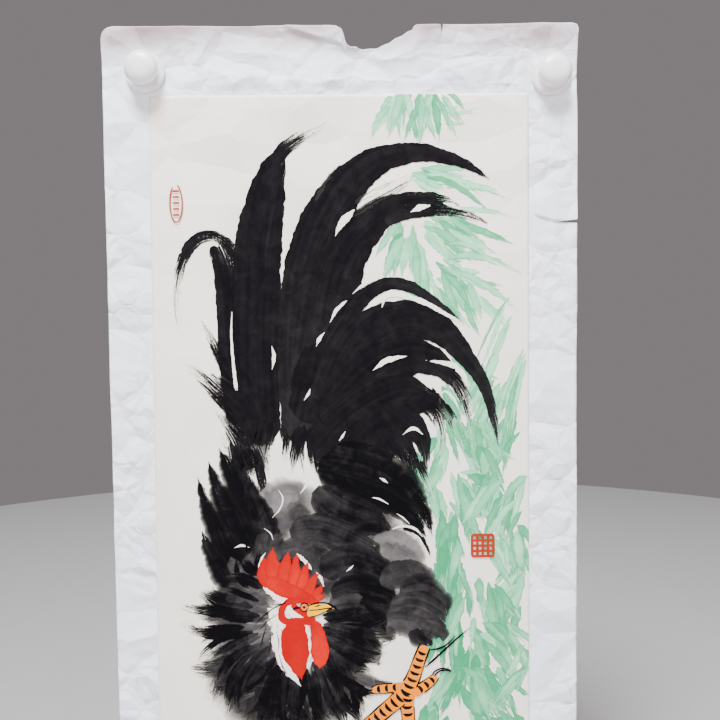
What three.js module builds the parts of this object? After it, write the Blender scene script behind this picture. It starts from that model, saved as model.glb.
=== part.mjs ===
// A brush painting on a backed paper sheet, held to a steel-faced wall by two round knob magnets.
// Millimetres. The wall is the plane y = 0, +Y runs into it, +X is the viewer's right and +Z is up.
// The origin lies on the back of the sheet, at mid-width, at the height of the knobs.
import * as THREE from "three";

// The painting's own paper, pasted on the backing.
const paintingWidth = 346;
const paintingHeight = 690;
const paintingThickness = 0.2;

// The backing sheet, which shows as a margin all round the painting.
const leftMargin = 41;
const rightMargin = 44;
const topMargin = 60.8;
const bottomMargin = 59.2;
const backingThickness = 0.4;
const topEdge = 41.6; // height of the sheet's top edge above the origin
const cornerRadius = 11;
const clippedCorner = 4; // the top right corner is worn off at a slant

// The sheet bends along a level line under the knobs when its lower end is lifted off the wall.
const bendHeight = -70;
const bendGap = 0.3;

// Damage to the paper's edges.
const notchLeft = 4; // the torn bite out of the top edge starts here
const notchWidth = 65;
const notchDepth = 22;
const slitPlace = 93; // a short slit down from the top edge
const slitDepth = 15;
const slitWidth = 1.2;
const sideTearDrop = 177.6; // a tear in from the right edge, this far below the top edge
const sideTearDepth = 21;
const sideTearWidth = 1.6;

// Where the knobs stand on the margin: the left one above the painting, the right one beside it.
const leftKnobInset = 38.5; // from the sheet's left edge to the knob's centre
const leftKnobGap = 2.8; // from the painting's top edge up to the knob's flange
const rightKnobGap = 2.5; // from the painting's right edge out to the knob's flange
const rightKnobDrop = 45.6; // from the sheet's top edge down to the knob's centre

// The knob magnets, measured outwards from the face of the backing sheet.
const padThickness = 0.8;
const padInset = 1.6; // the grip pad stops this far inside the flange
const magnetRadius = 9.5;
const magnetThickness = 3;
const magnetChamfer = 0.4;
const cupWall = 0.8;
const gluelineGap = 0.1; // clearance round the magnet, and round the cup in its recess
const flangeRadius = 18;
const flangeHeight = 2.6;
const stepInset = 0.9; // the small step round the flange's upper edge
const stepHeight = 0.7;
const neckBeyondCup = 0.4; // the neck is this much wider in radius than the cup's recess
const neckLength = 2.2;
const coveHeight = 4.6; // the hollow curve from the flange up to the neck
const capOverhang = 4.2; // the cap's widest ring stands this far out beyond the neck
const capLip = 1; // the flat ring of the cap's underside outside the neck
const capRimHeight = 3.4; // from the cap's underside to its widest ring
const domeHeight = 8.6;
const domeFullness = 2.3; // 2 is an ellipse, and more is a flatter, squarer dome
const spigotRadius = 6.8;
const spigotLength = 4.4;
const spigotGap = 0.1;
const spigotFlange = 1.4; // the ring round the spigot that seats on the neck's end
const capWall = 2;
const pocketLip = 0.6; // the neck's end reaches this far out past the cap's pocket
const lipGap = 0.1; // between the cap's underside and the neck's end
const roundSegments = 48;

const sheetWidth = leftMargin + paintingWidth + rightMargin;
const paintingTop = topEdge - topMargin;
const paintingBottom = paintingTop - paintingHeight;
const bottomEdge = paintingBottom - bottomMargin;
const paintingLeft = leftMargin - sheetWidth / 2;
const paintingRight = paintingLeft + paintingWidth;
const leftKnob = { x: leftKnobInset - sheetWidth / 2, z: paintingTop + leftKnobGap + flangeRadius };
const rightKnob = { x: paintingRight + rightKnobGap + flangeRadius, z: topEdge - rightKnobDrop };

const paperWhite = new THREE.MeshStandardMaterial({ color: 0xe9ecef, roughness: 0.95, metalness: 0 });
const paintingCream = new THREE.MeshStandardMaterial({ color: 0xedeae2, roughness: 0.95, metalness: 0 });
const knobWhite = new THREE.MeshStandardMaterial({ color: 0xf2f2f4, roughness: 0.45, metalness: 0 });
const steelGrey = new THREE.MeshStandardMaterial({ color: 0x9a9da1, roughness: 0.4, metalness: 1 });
const magnetNickel = new THREE.MeshStandardMaterial({ color: 0xc4c4c0, roughness: 0.3, metalness: 1 });
const padGrey = new THREE.MeshStandardMaterial({ color: 0xb9b8b4, roughness: 0.9, metalness: 0 });

const painting = new THREE.Group();

function addPiece(parent, name, geometry, material) {
  const mesh = new THREE.Mesh(geometry, material);
  mesh.name = name;
  parent.add(mesh);
  return mesh;
}

// A flat layer of paper: an outline drawn in X and Z, standing upright, its back at the height given
// off the wall. Swapping the coordinates keeps both faces exactly on their planes.
function paperLayer(outline, thickness, back) {
  const geometry = new THREE.ExtrudeGeometry(outline, {
    depth: thickness,
    bevelEnabled: false,
    curveSegments: 8,
  });
  const place = geometry.getAttribute("position");
  for (let i = 0; i < place.count; i += 1) {
    const across = place.getX(i);
    const up = place.getY(i);
    const out = place.getZ(i);
    place.setXYZ(i, across, -back - out, up);
  }
  geometry.computeVertexNormals();
  return geometry;
}

// Down the right side of the torn bite, along its bottom and up to the fold at its left,
// as shares of the bite's width and depth.
const biteEdge = [
  [1.0, 0.0],
  [0.97, 0.22],
  [0.86, 0.46],
  [0.74, 0.62],
  [0.56, 0.86],
  [0.36, 0.97],
  [0.18, 1.0],
  [0.1, 0.9],
  [0.04, 0.86],
  [0.0, 0.76],
  [0.05, 0.3],
  [-0.04, 0.14],
  [-0.14, 0.0],
];

function backingTopOutline() {
  const half = sheetWidth / 2;
  const outline = new THREE.Shape();
  outline.moveTo(-half, bendHeight);
  outline.lineTo(half, bendHeight);
  outline.lineTo(half, topEdge - clippedCorner);
  outline.lineTo(half - clippedCorner / 2, topEdge);
  outline.lineTo(slitPlace + slitWidth / 2, topEdge);
  outline.lineTo(slitPlace - slitWidth, topEdge - slitDepth);
  outline.lineTo(slitPlace - slitWidth / 2, topEdge);
  for (const [across, down] of biteEdge) {
    outline.lineTo(notchLeft + across * notchWidth, topEdge - down * notchDepth);
  }
  outline.lineTo(-half + cornerRadius, topEdge);
  outline.absarc(-half + cornerRadius, topEdge - cornerRadius, cornerRadius, Math.PI / 2, Math.PI, false);
  return outline;
}

function backingLowerOutline() {
  const half = sheetWidth / 2;
  const sideTearHeight = topEdge - sideTearDrop;
  const outline = new THREE.Shape();
  outline.moveTo(-half, bendHeight - bendGap);
  outline.lineTo(-half, bottomEdge);
  outline.lineTo(half, bottomEdge);
  outline.lineTo(half, sideTearHeight - sideTearWidth / 2);
  outline.lineTo(half - sideTearDepth, sideTearHeight + sideTearWidth);
  outline.lineTo(half, sideTearHeight + sideTearWidth / 2);
  outline.lineTo(half, bendHeight - bendGap);
  return outline;
}

function paintingOutline(top, bottom) {
  const outline = new THREE.Shape();
  outline.moveTo(paintingLeft, bottom);
  outline.lineTo(paintingRight, bottom);
  outline.lineTo(paintingRight, top);
  outline.lineTo(paintingLeft, top);
  return outline;
}

const backingTop = paperLayer(backingTopOutline(), backingThickness, 0);
const backingLower = paperLayer(backingLowerOutline(), backingThickness, 0);
const paintingUpper = paperLayer(paintingOutline(paintingTop, bendHeight), paintingThickness, backingThickness);
const paintingLower = paperLayer(
  paintingOutline(bendHeight - bendGap, paintingBottom),
  paintingThickness,
  backingThickness,
);
addPiece(painting, "backing_sheet_top", backingTop, paperWhite);
addPiece(painting, "backing_sheet_lower", backingLower, paperWhite);
addPiece(painting, "painting_sheet_top", paintingUpper, paintingCream);
addPiece(painting, "painting_sheet_lower", paintingLower, paintingCream);

// A turned piece whose profile is drawn as radius and height off the sheet's face. The lathe's axis
// is turned to point away from the wall, by swapping signs so that flat ends stay exactly flat.
function turned(profile) {
  const points = profile.map(([radius, height]) => new THREE.Vector2(radius, height));
  const geometry = new THREE.LatheGeometry(points, roundSegments);
  const place = geometry.getAttribute("position");
  for (let i = 0; i < place.count; i += 1) {
    place.setXYZ(i, place.getX(i), -backingThickness - place.getY(i), -place.getZ(i));
  }
  geometry.computeVertexNormals();
  return geometry;
}

const padRadius = flangeRadius - padInset;
const cupTop = padThickness + magnetThickness + gluelineGap + cupWall;
const cupRadius = magnetRadius + gluelineGap + cupWall;
const recessRadius = cupRadius + gluelineGap;
const recessTop = cupTop + gluelineGap;
const flangeTop = padThickness + flangeHeight;
const neckRadius = recessRadius + neckBeyondCup;
const capRadius = neckRadius + capOverhang;
const neckTop = flangeTop + stepHeight + coveHeight + neckLength;
const capUnderside = neckTop + lipGap;
const capRim = capUnderside + capRimHeight;
const arcSteps = 8;
const domeSteps = 14;

function padProfile() {
  return [
    [0, 0],
    [padRadius, 0],
    [padRadius, padThickness],
    [0, padThickness],
  ];
}

function magnetProfile() {
  const top = padThickness + magnetThickness;
  return [
    [0, padThickness],
    [magnetRadius - magnetChamfer, padThickness],
    [magnetRadius, padThickness + magnetChamfer],
    [magnetRadius, top],
    [0, top],
  ];
}

function cupProfile() {
  return [
    [0, cupTop - cupWall],
    [cupRadius - cupWall, cupTop - cupWall],
    [cupRadius - cupWall, padThickness],
    [cupRadius, padThickness],
    [cupRadius, cupTop],
    [0, cupTop],
  ];
}

// The base: flange, step, cove and neck outside, with the cup's recess under it and the cap's socket through it.
function baseProfile() {
  const socketRadius = spigotRadius + spigotGap;
  const coveFoot = flangeRadius - stepInset * 2;
  const profile = [
    [recessRadius, padThickness],
    [flangeRadius, padThickness],
    [flangeRadius, flangeTop],
    [flangeRadius - stepInset, flangeTop],
    [flangeRadius - stepInset, flangeTop + stepHeight],
  ];
  for (let i = 0; i <= arcSteps; i += 1) {
    const turn = (i / arcSteps) * (Math.PI / 2);
    const radius = neckRadius + (coveFoot - neckRadius) * (1 - Math.sin(turn));
    const height = flangeTop + stepHeight + coveHeight * (1 - Math.cos(turn));
    profile.push([radius, height]);
  }
  profile.push([neckRadius, neckTop], [socketRadius, neckTop], [socketRadius, recessTop]);
  profile.push([recessRadius, recessTop], [recessRadius, padThickness]);
  return profile;
}

// The cap's outside, from its rim over the dome to the axis.
function domeCurve(radius, rise, steps) {
  const curve = [];
  for (let i = 0; i <= steps; i += 1) {
    const turn = (i / steps) * (Math.PI / 2);
    const across = radius * Math.cos(turn) ** (2 / domeFullness);
    curve.push([i === steps ? 0 : across, capRim + rise * Math.sin(turn) ** (2 / domeFullness)]);
  }
  return curve;
}

// The cap: a domed shell with a spigot that plugs into the base. The pocket round the spigot opens downwards,
// over the neck's end.
function capProfile() {
  const pocketInner = spigotRadius + spigotFlange;
  const pocketOuter = capRadius - capWall;
  const pocketTop = capRim + domeHeight - capWall * 2;
  const rimCurve = capOverhang * 0.2;
  return [
    [0, capUnderside - spigotLength],
    [spigotRadius, capUnderside - spigotLength],
    [spigotRadius, capUnderside],
    [pocketInner, capUnderside],
    [pocketInner, pocketTop],
    [(pocketInner + pocketOuter) / 2, pocketTop],
    [pocketOuter, capRim],
    [neckRadius - pocketLip, capUnderside + capWall],
    [neckRadius - pocketLip, capUnderside],
    [neckRadius + capLip, capUnderside],
    [capRadius - rimCurve, capUnderside + capRimHeight * 0.45],
    ...domeCurve(capRadius, domeHeight, domeSteps),
  ];
}

function addKnob(side, place) {
  const knob = new THREE.Group();
  knob.position.set(place.x, 0, place.z);
  addPiece(knob, `${side}_knob_cap`, turned(capProfile()), knobWhite);
  addPiece(knob, `${side}_knob_base`, turned(baseProfile()), knobWhite);
  addPiece(knob, `${side}_steel_cup`, turned(cupProfile()), steelGrey);
  addPiece(knob, `${side}_disc_magnet`, turned(magnetProfile()), magnetNickel);
  addPiece(knob, `${side}_grip_pad`, turned(padProfile()), padGrey);
  painting.add(knob);
}

addKnob("left", leftKnob);
addKnob("right", rightKnob);

export default painting;
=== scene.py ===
"""A brush painting of a rooster on backed paper, hung flat by two knob magnets."""

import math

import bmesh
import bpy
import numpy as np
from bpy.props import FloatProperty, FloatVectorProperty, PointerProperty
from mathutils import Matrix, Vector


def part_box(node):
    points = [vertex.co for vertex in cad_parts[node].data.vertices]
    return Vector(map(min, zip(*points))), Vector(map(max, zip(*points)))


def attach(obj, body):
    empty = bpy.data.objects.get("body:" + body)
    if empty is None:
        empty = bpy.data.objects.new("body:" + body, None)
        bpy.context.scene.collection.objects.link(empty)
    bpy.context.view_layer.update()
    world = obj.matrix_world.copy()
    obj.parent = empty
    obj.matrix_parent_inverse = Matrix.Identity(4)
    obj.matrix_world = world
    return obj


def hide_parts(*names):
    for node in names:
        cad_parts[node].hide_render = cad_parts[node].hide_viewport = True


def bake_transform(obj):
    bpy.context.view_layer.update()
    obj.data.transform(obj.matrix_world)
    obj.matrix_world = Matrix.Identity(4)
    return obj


bl_info = {
    "name": "Magnet-hung Brush Painting",
    "version": (1, 0, 0),
    "blender": (4, 5, 0),
    "location": "View3D > Sidebar > Painting",
    "description": "Builds a brush painting on backed paper and the two knob magnets that hold it",
    "category": "Add Mesh",
}

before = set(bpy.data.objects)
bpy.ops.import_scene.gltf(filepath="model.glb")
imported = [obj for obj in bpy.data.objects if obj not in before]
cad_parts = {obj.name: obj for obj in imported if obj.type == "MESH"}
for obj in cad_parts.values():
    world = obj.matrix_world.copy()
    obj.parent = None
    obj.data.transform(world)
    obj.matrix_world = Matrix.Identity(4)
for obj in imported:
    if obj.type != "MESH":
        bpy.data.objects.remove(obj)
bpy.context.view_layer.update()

MM = 0.001
BACKING_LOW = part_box("backing_sheet_lower")[0]
BACKING_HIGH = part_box("backing_sheet_top")[1]
PAINTING_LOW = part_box("painting_sheet_lower")[0]
PAINTING_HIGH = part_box("painting_sheet_top")[1]
BACKING_THICKNESS = -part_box("backing_sheet_top")[0].y
PAINTING_THICKNESS = -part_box("painting_sheet_top")[0].y - BACKING_THICKNESS
SIDES = ("left", "right")


def middle_of(node):
    low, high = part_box(node)
    return (low + high) / 2


KNOB_PLACES = [middle_of(f"{side}_knob_base") for side in SIDES]


# ---------------------------------------------------------------- settings


def colour_setting(name, description, default):
    return FloatVectorProperty(
        name=name, description=description, default=default, subtype="COLOR", min=0, max=1
    )


class SheetSettings(bpy.types.PropertyGroup):
    """The two papers and how they have cockled."""

    cockle: FloatProperty(
        name="Cockle height", description="How far the damp-cockled paper stands off the wall",
        default=1.1 * MM, min=0, max=4 * MM, unit="LENGTH",
    )
    curl: FloatProperty(
        name="Edge curl", description="How far the sheet's long edges lift",
        default=1.6 * MM, min=0, max=5 * MM, unit="LENGTH",
    )
    crumple: FloatProperty(
        name="Crumple height", description="How deep the folds of the crumpled margins are",
        default=4.2 * MM, min=0, max=6 * MM, unit="LENGTH",
    )
    crease: FloatProperty(
        name="Crease height", description="Height of the sharp creases in the margins",
        default=0.75 * MM, min=0, max=2 * MM, unit="LENGTH",
    )
    backing: colour_setting("Backing paper", "Colour of the backing paper", (0.80, 0.835, 0.90))
    painting: colour_setting("Painting paper", "Colour of the painting's own paper", (0.86, 0.82, 0.735))


class PaintSettings(bpy.types.PropertyGroup):
    """The colours on the brush."""

    ink: colour_setting("Ink", "Full black ink", (0.0032, 0.0028, 0.004))
    wash: colour_setting("Ink wash", "The palest ink wash", (0.40, 0.375, 0.385))
    leaf: colour_setting("Leaf green", "The stronger leaf green", (0.03, 0.30, 0.135))
    pale_leaf: colour_setting("Pale leaf green", "The watered leaf green", (0.33, 0.73, 0.46))
    comb: colour_setting("Comb red", "Colour of the comb and wattles", (0.37, 0.0015, 0.003))
    comb_thin: colour_setting("Thin red", "The comb's red where it is watered down", (0.62, 0.022, 0.010))
    leg: colour_setting("Leg yellow", "Colour of the legs", (0.78, 0.20, 0.0005))
    beak: colour_setting("Beak yellow", "Colour of the beak", (0.85, 0.40, 0.002))
    seal: colour_setting("Seal red", "Colour of the stamped marks", (0.29, 0.028, 0.010))


class KnobSettings(bpy.types.PropertyGroup):
    """The two knob magnets."""

    plastic: colour_setting("Knob plastic", "Colour of the knobs", (0.84, 0.81, 0.825))
    roughness: FloatProperty(
        name="Knob roughness", description="How matt the knobs are", subtype="FACTOR",
        default=0.32, min=0, max=1,
    )


class StageSettings(bpy.types.PropertyGroup):
    """The floor and the lights."""

    floor: colour_setting("Floor", "Colour of the floor", (0.40, 0.385, 0.39))
    backdrop: colour_setting("Backdrop", "Colour of the surroundings", (0.225, 0.205, 0.21))
    light: FloatProperty(
        name="Key light", description="Power of the main light", unit="POWER",
        default=200, min=0, max=400,
    )


class PaintingSettings(bpy.types.PropertyGroup):
    """Everything a user would change."""

    sheet: PointerProperty(type=SheetSettings)
    paint: PointerProperty(type=PaintSettings)
    knob: PointerProperty(type=KnobSettings)
    stage: PointerProperty(type=StageSettings)


def settings():
    return bpy.context.scene.painting_settings


# ---------------------------------------------------------------- shaders


class Value:
    """A socket of a material. Arithmetic on it adds Math nodes."""

    def __init__(self, shader, socket):
        self.shader = shader
        self.socket = socket

    def maths(self, operation, *values):
        return self.shader.node("ShaderNodeMath", {"operation": operation}, dict(enumerate(values)))

    def __add__(self, other):
        return self.maths("ADD", self, other)

    def __radd__(self, other):
        return self.maths("ADD", other, self)

    def __sub__(self, other):
        return self.maths("SUBTRACT", self, other)

    def __rsub__(self, other):
        return self.maths("SUBTRACT", other, self)

    def __mul__(self, other):
        return self.maths("MULTIPLY", self, other)

    def __pow__(self, other):
        return self.maths("POWER", self, other)

    def out(self, name):
        """Another output of the same node."""
        return Value(self.shader, self.socket.node.outputs[name])

    def clamped(self):
        return self.shader.node("ShaderNodeClamp", {}, {0: self})

    def step(self, low, high):
        """0 below low, 1 above high and smooth between."""
        ends = {"Value": self, "From Min": low, "From Max": high, "To Min": 0.0, "To Max": 1.0}
        return self.shader.node("ShaderNodeMapRange", {"interpolation_type": "SMOOTHSTEP"}, ends)


class Shader:
    """A material while its nodes are being added."""

    def __init__(self, name):
        self.material = bpy.data.materials.new(name)
        self.material.use_nodes = True
        self.tree = self.material.node_tree
        self.surface = self.tree.nodes["Principled BSDF"]

    def node(self, kind, options, inputs, output=0):
        made = self.tree.nodes.new(kind)
        for name, option in options.items():
            setattr(made, name, option)
        for name, value in inputs.items():
            self.plug(made.inputs[name], value)
        return Value(self, made.outputs[output])

    def plug(self, socket, value):
        if isinstance(value, Value):
            self.tree.links.new(value.socket, socket)
        elif socket.type == "RGBA":
            socket.default_value = (*value[:3], 1)
        else:
            socket.default_value = value

    def finish(self, **inputs):
        """Sets the surface's sockets, named with _ for a space, and hands over the material."""
        for name, value in inputs.items():
            self.plug(self.surface.inputs[name.replace("_", " ")], value)
        return self.material

    def place(self):
        return self.node("ShaderNodeTexCoord", {}, {}, "Object")

    def attribute(self, name):
        return self.node("ShaderNodeAttribute", {"attribute_name": name}, {}, "Vector")

    def split(self, vector):
        parts = self.node("ShaderNodeSeparateXYZ", {}, {0: vector})
        return [parts, parts.out("Y"), parts.out("Z")]

    def join(self, x, y, z):
        return self.node("ShaderNodeCombineXYZ", {}, {0: x, 1: y, 2: z})

    def stretch(self, vector, x, y, z):
        return self.node("ShaderNodeVectorMath", {"operation": "MULTIPLY"}, {0: vector, 1: (x, y, z)})

    def noise(self, vector, scale, detail=2.0, roughness=0.5, distortion=0.0):
        inputs = {"Vector": vector, "Scale": scale, "Detail": detail, "Roughness": roughness}
        return self.node("ShaderNodeTexNoise", {}, {**inputs, "Distortion": distortion})

    def crumpled(self, scale, sway):
        """Crumpled paper: how far each place is from the nearest edge of a net of bent facets."""
        x, _, z = self.split(self.place())
        bent = self.noise(self.place(), scale * 1.6, 2.0, 0.5) - 0.5
        swung = self.noise(self.place(), scale * 1.1, 2.0, 0.5, 0.4) - 0.5
        spot = self.join(x + bent * sway, 0.0, z + swung * sway)
        net = {"feature": "DISTANCE_TO_EDGE"}
        return self.node("ShaderNodeTexVoronoi", net, {"Vector": spot, "Scale": scale})

    def mix(self, factor, a, b, **options):
        return self.node("ShaderNodeMix", {"data_type": "RGBA", **options}, {0: factor, 6: a, 7: b}, 2)

    def tint(self, a, b):
        """The two colours multiplied, as one laid over the other."""
        return self.mix(1.0, a, b, blend_type="MULTIPLY")

    def ridge(self, noise, sharpness):
        """1 along the noise's middle line and falling away to 0 beside it."""
        off = self.node("ShaderNodeMath", {"operation": "ABSOLUTE"}, {0: noise - 0.5})
        return (1.0 - off * sharpness).clamped()

    def bump(self, height, distance, strength=1.0):
        inputs = {"Height": height, "Distance": distance, "Strength": strength}
        return self.node("ShaderNodeBump", {}, inputs)


def paper_grain(s):
    """Felted fibres: soft flecks crossed by longer hairs."""
    place = s.place()
    flecks = s.noise(place, 900, 3.0, 0.6)
    hairs = s.noise(s.stretch(place, 1.0, 1.0, 0.22), 1300, 2.0, 0.5, 1.2)
    return flecks * 0.6 + hairs * 0.4


def painting_paper_colour(s):
    """The cream paper, unevenly toned, a little browner in patches where it has aged."""
    cream = Vector(settings().sheet.painting)
    place = s.place()
    cloudy = s.noise(place, 9, 3.0, 0.55)
    aged = s.noise(place, 31, 4.0, 0.6).step(0.58, 0.78)
    toned = s.mix(cloudy.step(0.3, 0.7), cream * 1.03, cream * 0.955)
    return s.mix(aged * 0.35, toned, (cream.x * 0.93, cream.y * 0.905, cream.z * 0.85))


def painting_paper_material():
    s = Shader("painting_paper")
    grain = paper_grain(s)
    colour = s.mix(grain.step(0.35, 0.65) * 0.05, painting_paper_colour(s), (0.45, 0.43, 0.38))
    place = s.place()
    soft = s.noise(place, 60, 3.0, 0.6)
    near_top = s.split(place)[2].step(PAINTING_HIGH.z - 260 * MM, PAINTING_HIGH.z)
    large = s.crumpled(12, 30 * MM)
    # painted shade along the fold lines, stronger towards the top
    crease_shade = (1.0 - large.step(0.0, 0.018)) * (0.12 + near_top * 0.7)
    return s.finish(
        Base_Color=s.mix(crease_shade * 0.10, colour, (0.50, 0.46, 0.40)),
        Roughness=0.86 + grain * 0.12,
        Normal=s.bump(grain * 0.15 + soft * 0.45 + large * (1.5 + near_top * 9.0), 0.9 * MM, 0.9),
        Specular_IOR_Level=0.25,
    )


def backing_paper_material():
    """White backing paper, a little darker and bluer in cloudy patches, with painted shade along its
    crumpled folds, and darker along its top edge: partly a brown stain and partly painted shade where the
    edge curls.
    """
    s = Shader("backing_paper")
    white = Vector(settings().sheet.backing)
    place = s.place()
    height = s.split(place)[2]
    grain = paper_grain(s)
    cloudy = s.noise(place, 14, 3.0, 0.55)
    toned = s.mix(cloudy.step(0.3, 0.7), white * 1.02, (white.x * 0.945, white.y * 0.955, white.z * 0.985))
    # painted shade where the top edge curls, over a brown stain: the paper darkens towards its top edge
    top_stain_and_shade = height.step(BACKING_HIGH.z - 34 * MM, BACKING_HIGH.z)
    patchy = s.noise(s.stretch(place, 0.5, 1.0, 1.0), 24, 3.0, 0.6).step(0.35, 0.65)
    toned = s.mix(top_stain_and_shade * (0.45 + patchy * 0.55), toned, (0.38, 0.27, 0.275))
    large = s.crumpled(19, 22 * MM)
    small = s.crumpled(47, 9 * MM)
    here = s.noise(place, 9, 1.0).step(0.40, 0.60)
    # painted shade along the lines of the crumpled folds
    lines = (1.0 - large.step(0.0, 0.03)) * 0.9 + (1.0 - small.step(0.0, 0.045)) * here * 0.8
    toned = s.mix((lines * (0.25 + here * 0.75)).clamped() * 0.20, toned, (0.40, 0.36, 0.39))
    return s.finish(
        Base_Color=toned,
        Roughness=0.88 + grain * 0.1,
        Normal=s.bump(grain * 0.012 + cloudy * 0.07 + large * 1.6 + small * here * 0.7, 6 * MM, 1.0),
        Specular_IOR_Level=0.25,
    )


FADE_ENDS = (0.08, 0.92)  # a paint starts to fade at the first and has gone at the second
THINNING = 1.6  # how slowly a paint turns from thick to thin with its tone


def paint_material(name, thick, thin, glaze=1.0, matt=0.8, bristle=900, mottle=0.3):
    """A brushed colour. It runs from thick to thin with the stroke's tone, shows the paper in streaks where
    the brush ran dry, and fades into what lies under it where the paper was wet."""
    s = Shader(name)
    along, across, dry = s.split(s.attribute("brush"))
    tone, fade, _ = s.split(s.attribute("wash"))
    below = s.tint(painting_paper_colour(s), s.attribute("ground"))
    place = s.place()
    streak = s.noise(s.join(along * 26, across * bristle, 0.0), 1.0, 2.5, 0.6)
    tooth = s.noise(place, 1100, 2.0, 0.6)
    held = streak * 0.7 + tooth * 0.3
    covered = ((held - (0.16 + dry * 0.62)) * 9.0 + 0.5).clamped()
    pooled = s.noise(place, 70, 4.0, 0.62, 0.6)
    drag = s.noise(s.join(along * 9, across * bristle * 0.3, 0.4), 1.0, 2.0, 0.5)
    soaked = 1.0 - (fade + (pooled - 0.5) * 0.5 * fade).step(*FADE_ENDS)
    strength = (tone + (pooled - 0.5) * mottle + (drag - 0.5) * mottle * 0.6).clamped()
    colour = s.mix(strength**THINNING, thick, thin)
    laid = s.mix(glaze, colour, s.tint(below, colour)) if glaze else colour
    return s.finish(
        Base_Color=s.mix(covered * soaked, below, laid),
        Roughness=matt + tooth * 0.12,
        Normal=s.bump(tooth * 0.5 + streak * 0.5, 0.12 * MM, 0.5),
        Specular_IOR_Level=0.03,
    )


def knob_material():
    """Satin moulded plastic with the faintest unevenness."""
    s = Shader("knob_plastic")
    base = Vector(settings().knob.plastic)
    place = s.place()
    cloudy = s.noise(place, 45, 2.0)
    skin = s.noise(place, 1500, 2.0)
    handled = s.noise(place, 160, 3.0, 0.6).step(0.4, 0.75)
    plain = s.mix(cloudy.step(0.3, 0.7) * 0.6, base, base * 0.965)
    # painted shade where the cap meets the base, darkening the plastic there
    off_groove = s.split(place)[1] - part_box("left_knob_base")[0].y
    painted_groove_shade = s.ridge(off_groove + 0.5, 1 / (3.4 * MM))
    return s.finish(
        Base_Color=s.mix(painted_groove_shade * 0.85, plain, (0.46, 0.33, 0.37)),
        Roughness=settings().knob.roughness + handled * 0.14,
        Normal=s.bump(skin * 0.7 + cloudy * 0.3, 0.06 * MM, 0.35),
        Coat_Weight=0.15,
        Coat_Roughness=0.2,
    )


def plated_material(name, colour, roughness, ring_scale):
    """Plated metal, with the fine rings that turning or pressing leaves."""
    s = Shader(name)
    place = s.place()
    spots = s.noise(place, 350, 3.0, 0.6)
    rings = s.noise(s.stretch(place, 1.0, ring_scale, 1.0), 600, 2.0)
    return s.finish(
        Base_Color=s.mix(spots.step(0.35, 0.75), colour, tuple(c * 0.82 for c in colour)),
        Metallic=1.0,
        Roughness=roughness + spots * 0.15,
        Normal=s.bump(rings, 0.05 * MM, 0.3),
    )


def pad_material():
    """Thin cork-and-rubber sheet."""
    s = Shader("grip_pad")
    place = s.place()
    crumbs = s.noise(place, 900, 4.0, 0.7)
    return s.finish(
        Base_Color=s.mix(crumbs.step(0.4, 0.62), (0.40, 0.38, 0.35), (0.50, 0.48, 0.45)),
        Roughness=0.92,
        Normal=s.bump(crumbs, 0.15 * MM, 0.7),
    )


# ---------------------------------------------------------------- the papers' relief

# Long, slow cockles: wavelength, direction in degrees, share of the height and phase.
COCKLES = (
    (168, 12, 0.30, 0.4), (121, 97, 0.24, 2.1), (205, 58, 0.22, 4.0), (96, 141, 0.14, 1.2),
    (83, 28, 0.10, 5.1),
)
# Crumpling of the margins, in the same order and then the sideways sway: each leaves sharp folds.
FOLDS = (
    (74, 96, 0.30, 0.9, 16), (58, 21, 0.20, 3.3, 12), (43, 128, 0.17, 1.7, 9), (33, 68, 0.13, 0.2, 8),
    (49, 160, 0.14, 4.4, 11), (26, 102, 0.09, 2.6, 6),
)
# Sharp creases, as two ends in millimetres and a share of the crease height; minus is a valley.
CREASES = (
    (-58, 41, 12, 20, 1.5),
    (-208, 19, -120, 25, 0.8),
    (-150, 33, -100, 20, 0.9),
    (-110, 12, -30, 17, 0.8),
    (-176, -6, -60, -2, 1.0),
    (-70, -8, 80, -5, 1.1),
    (20, 12, 130, 17, 0.9),
    (72, 38, 88, 10, 1.0),
    (96, 26, 180, 30, 0.8),
    (60, -12, 168, -6, -1.0),
    (110, 6, 170, 12, 0.8),
    (-174, -16, 172, -15, -1.2),
    (178, -30, 214, -44, 0.9),
    (180, -52, 196, -112, 0.9),
    (176, -90, 213, -84, 0.8),
    (178, -210, 214, -196, 0.7),
    (176, -300, 213, -312, 0.8),
    (180, -420, 214, -408, 0.7),
    (-214, -60, -180, -48, 0.8),
    (-213, -100, -182, -113, 0.9),
    (-214, -155, -186, -148, 0.9),
    (-214, -245, -181, -238, 0.8),
    (-213, -372, -180, -380, 0.7),
    (-214, -505, -183, -498, 0.8),
    (-120, -722, 60, -730, 0.8),
    (40, -752, 180, -741, 0.8),
)
# Softer creases that run on across the painting's own paper.
PAPER_CREASES = (
    (-172, -44, -84, -30, 1.0), (-92, -33, -30, -30, 0.8), (96, -40, 160, -58, 0.8),
    (130, -22, 170, -36, 0.8), (-170, -262, -132, -254, 0.7), (-168, -326, -140, -330, 0.6),
    (-172, -88, -146, -84, 0.6),
)
# The tear in the right margin: the flap above it overlaps the paper below.
TEAR_LINE = ((172, -126), (180, -131), (192, -134.5), (204, -136.6), (216, -136.2))


def blend_step(value, low, high):
    """0 below low, 1 above high and smooth between."""
    t = np.clip((value - low) / (high - low), 0, 1)
    return t * t * (3 - 2 * t)


def waves(x, z):
    """The long cockles' height, from about -1 to 1."""
    total = np.zeros_like(x)
    for length, heading, share, phase in COCKLES:
        turn = math.radians(heading)
        along = x * math.cos(turn) + z * math.sin(turn)
        total = total + share * np.sin(2 * np.pi * along / length + phase)
    return total


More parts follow.
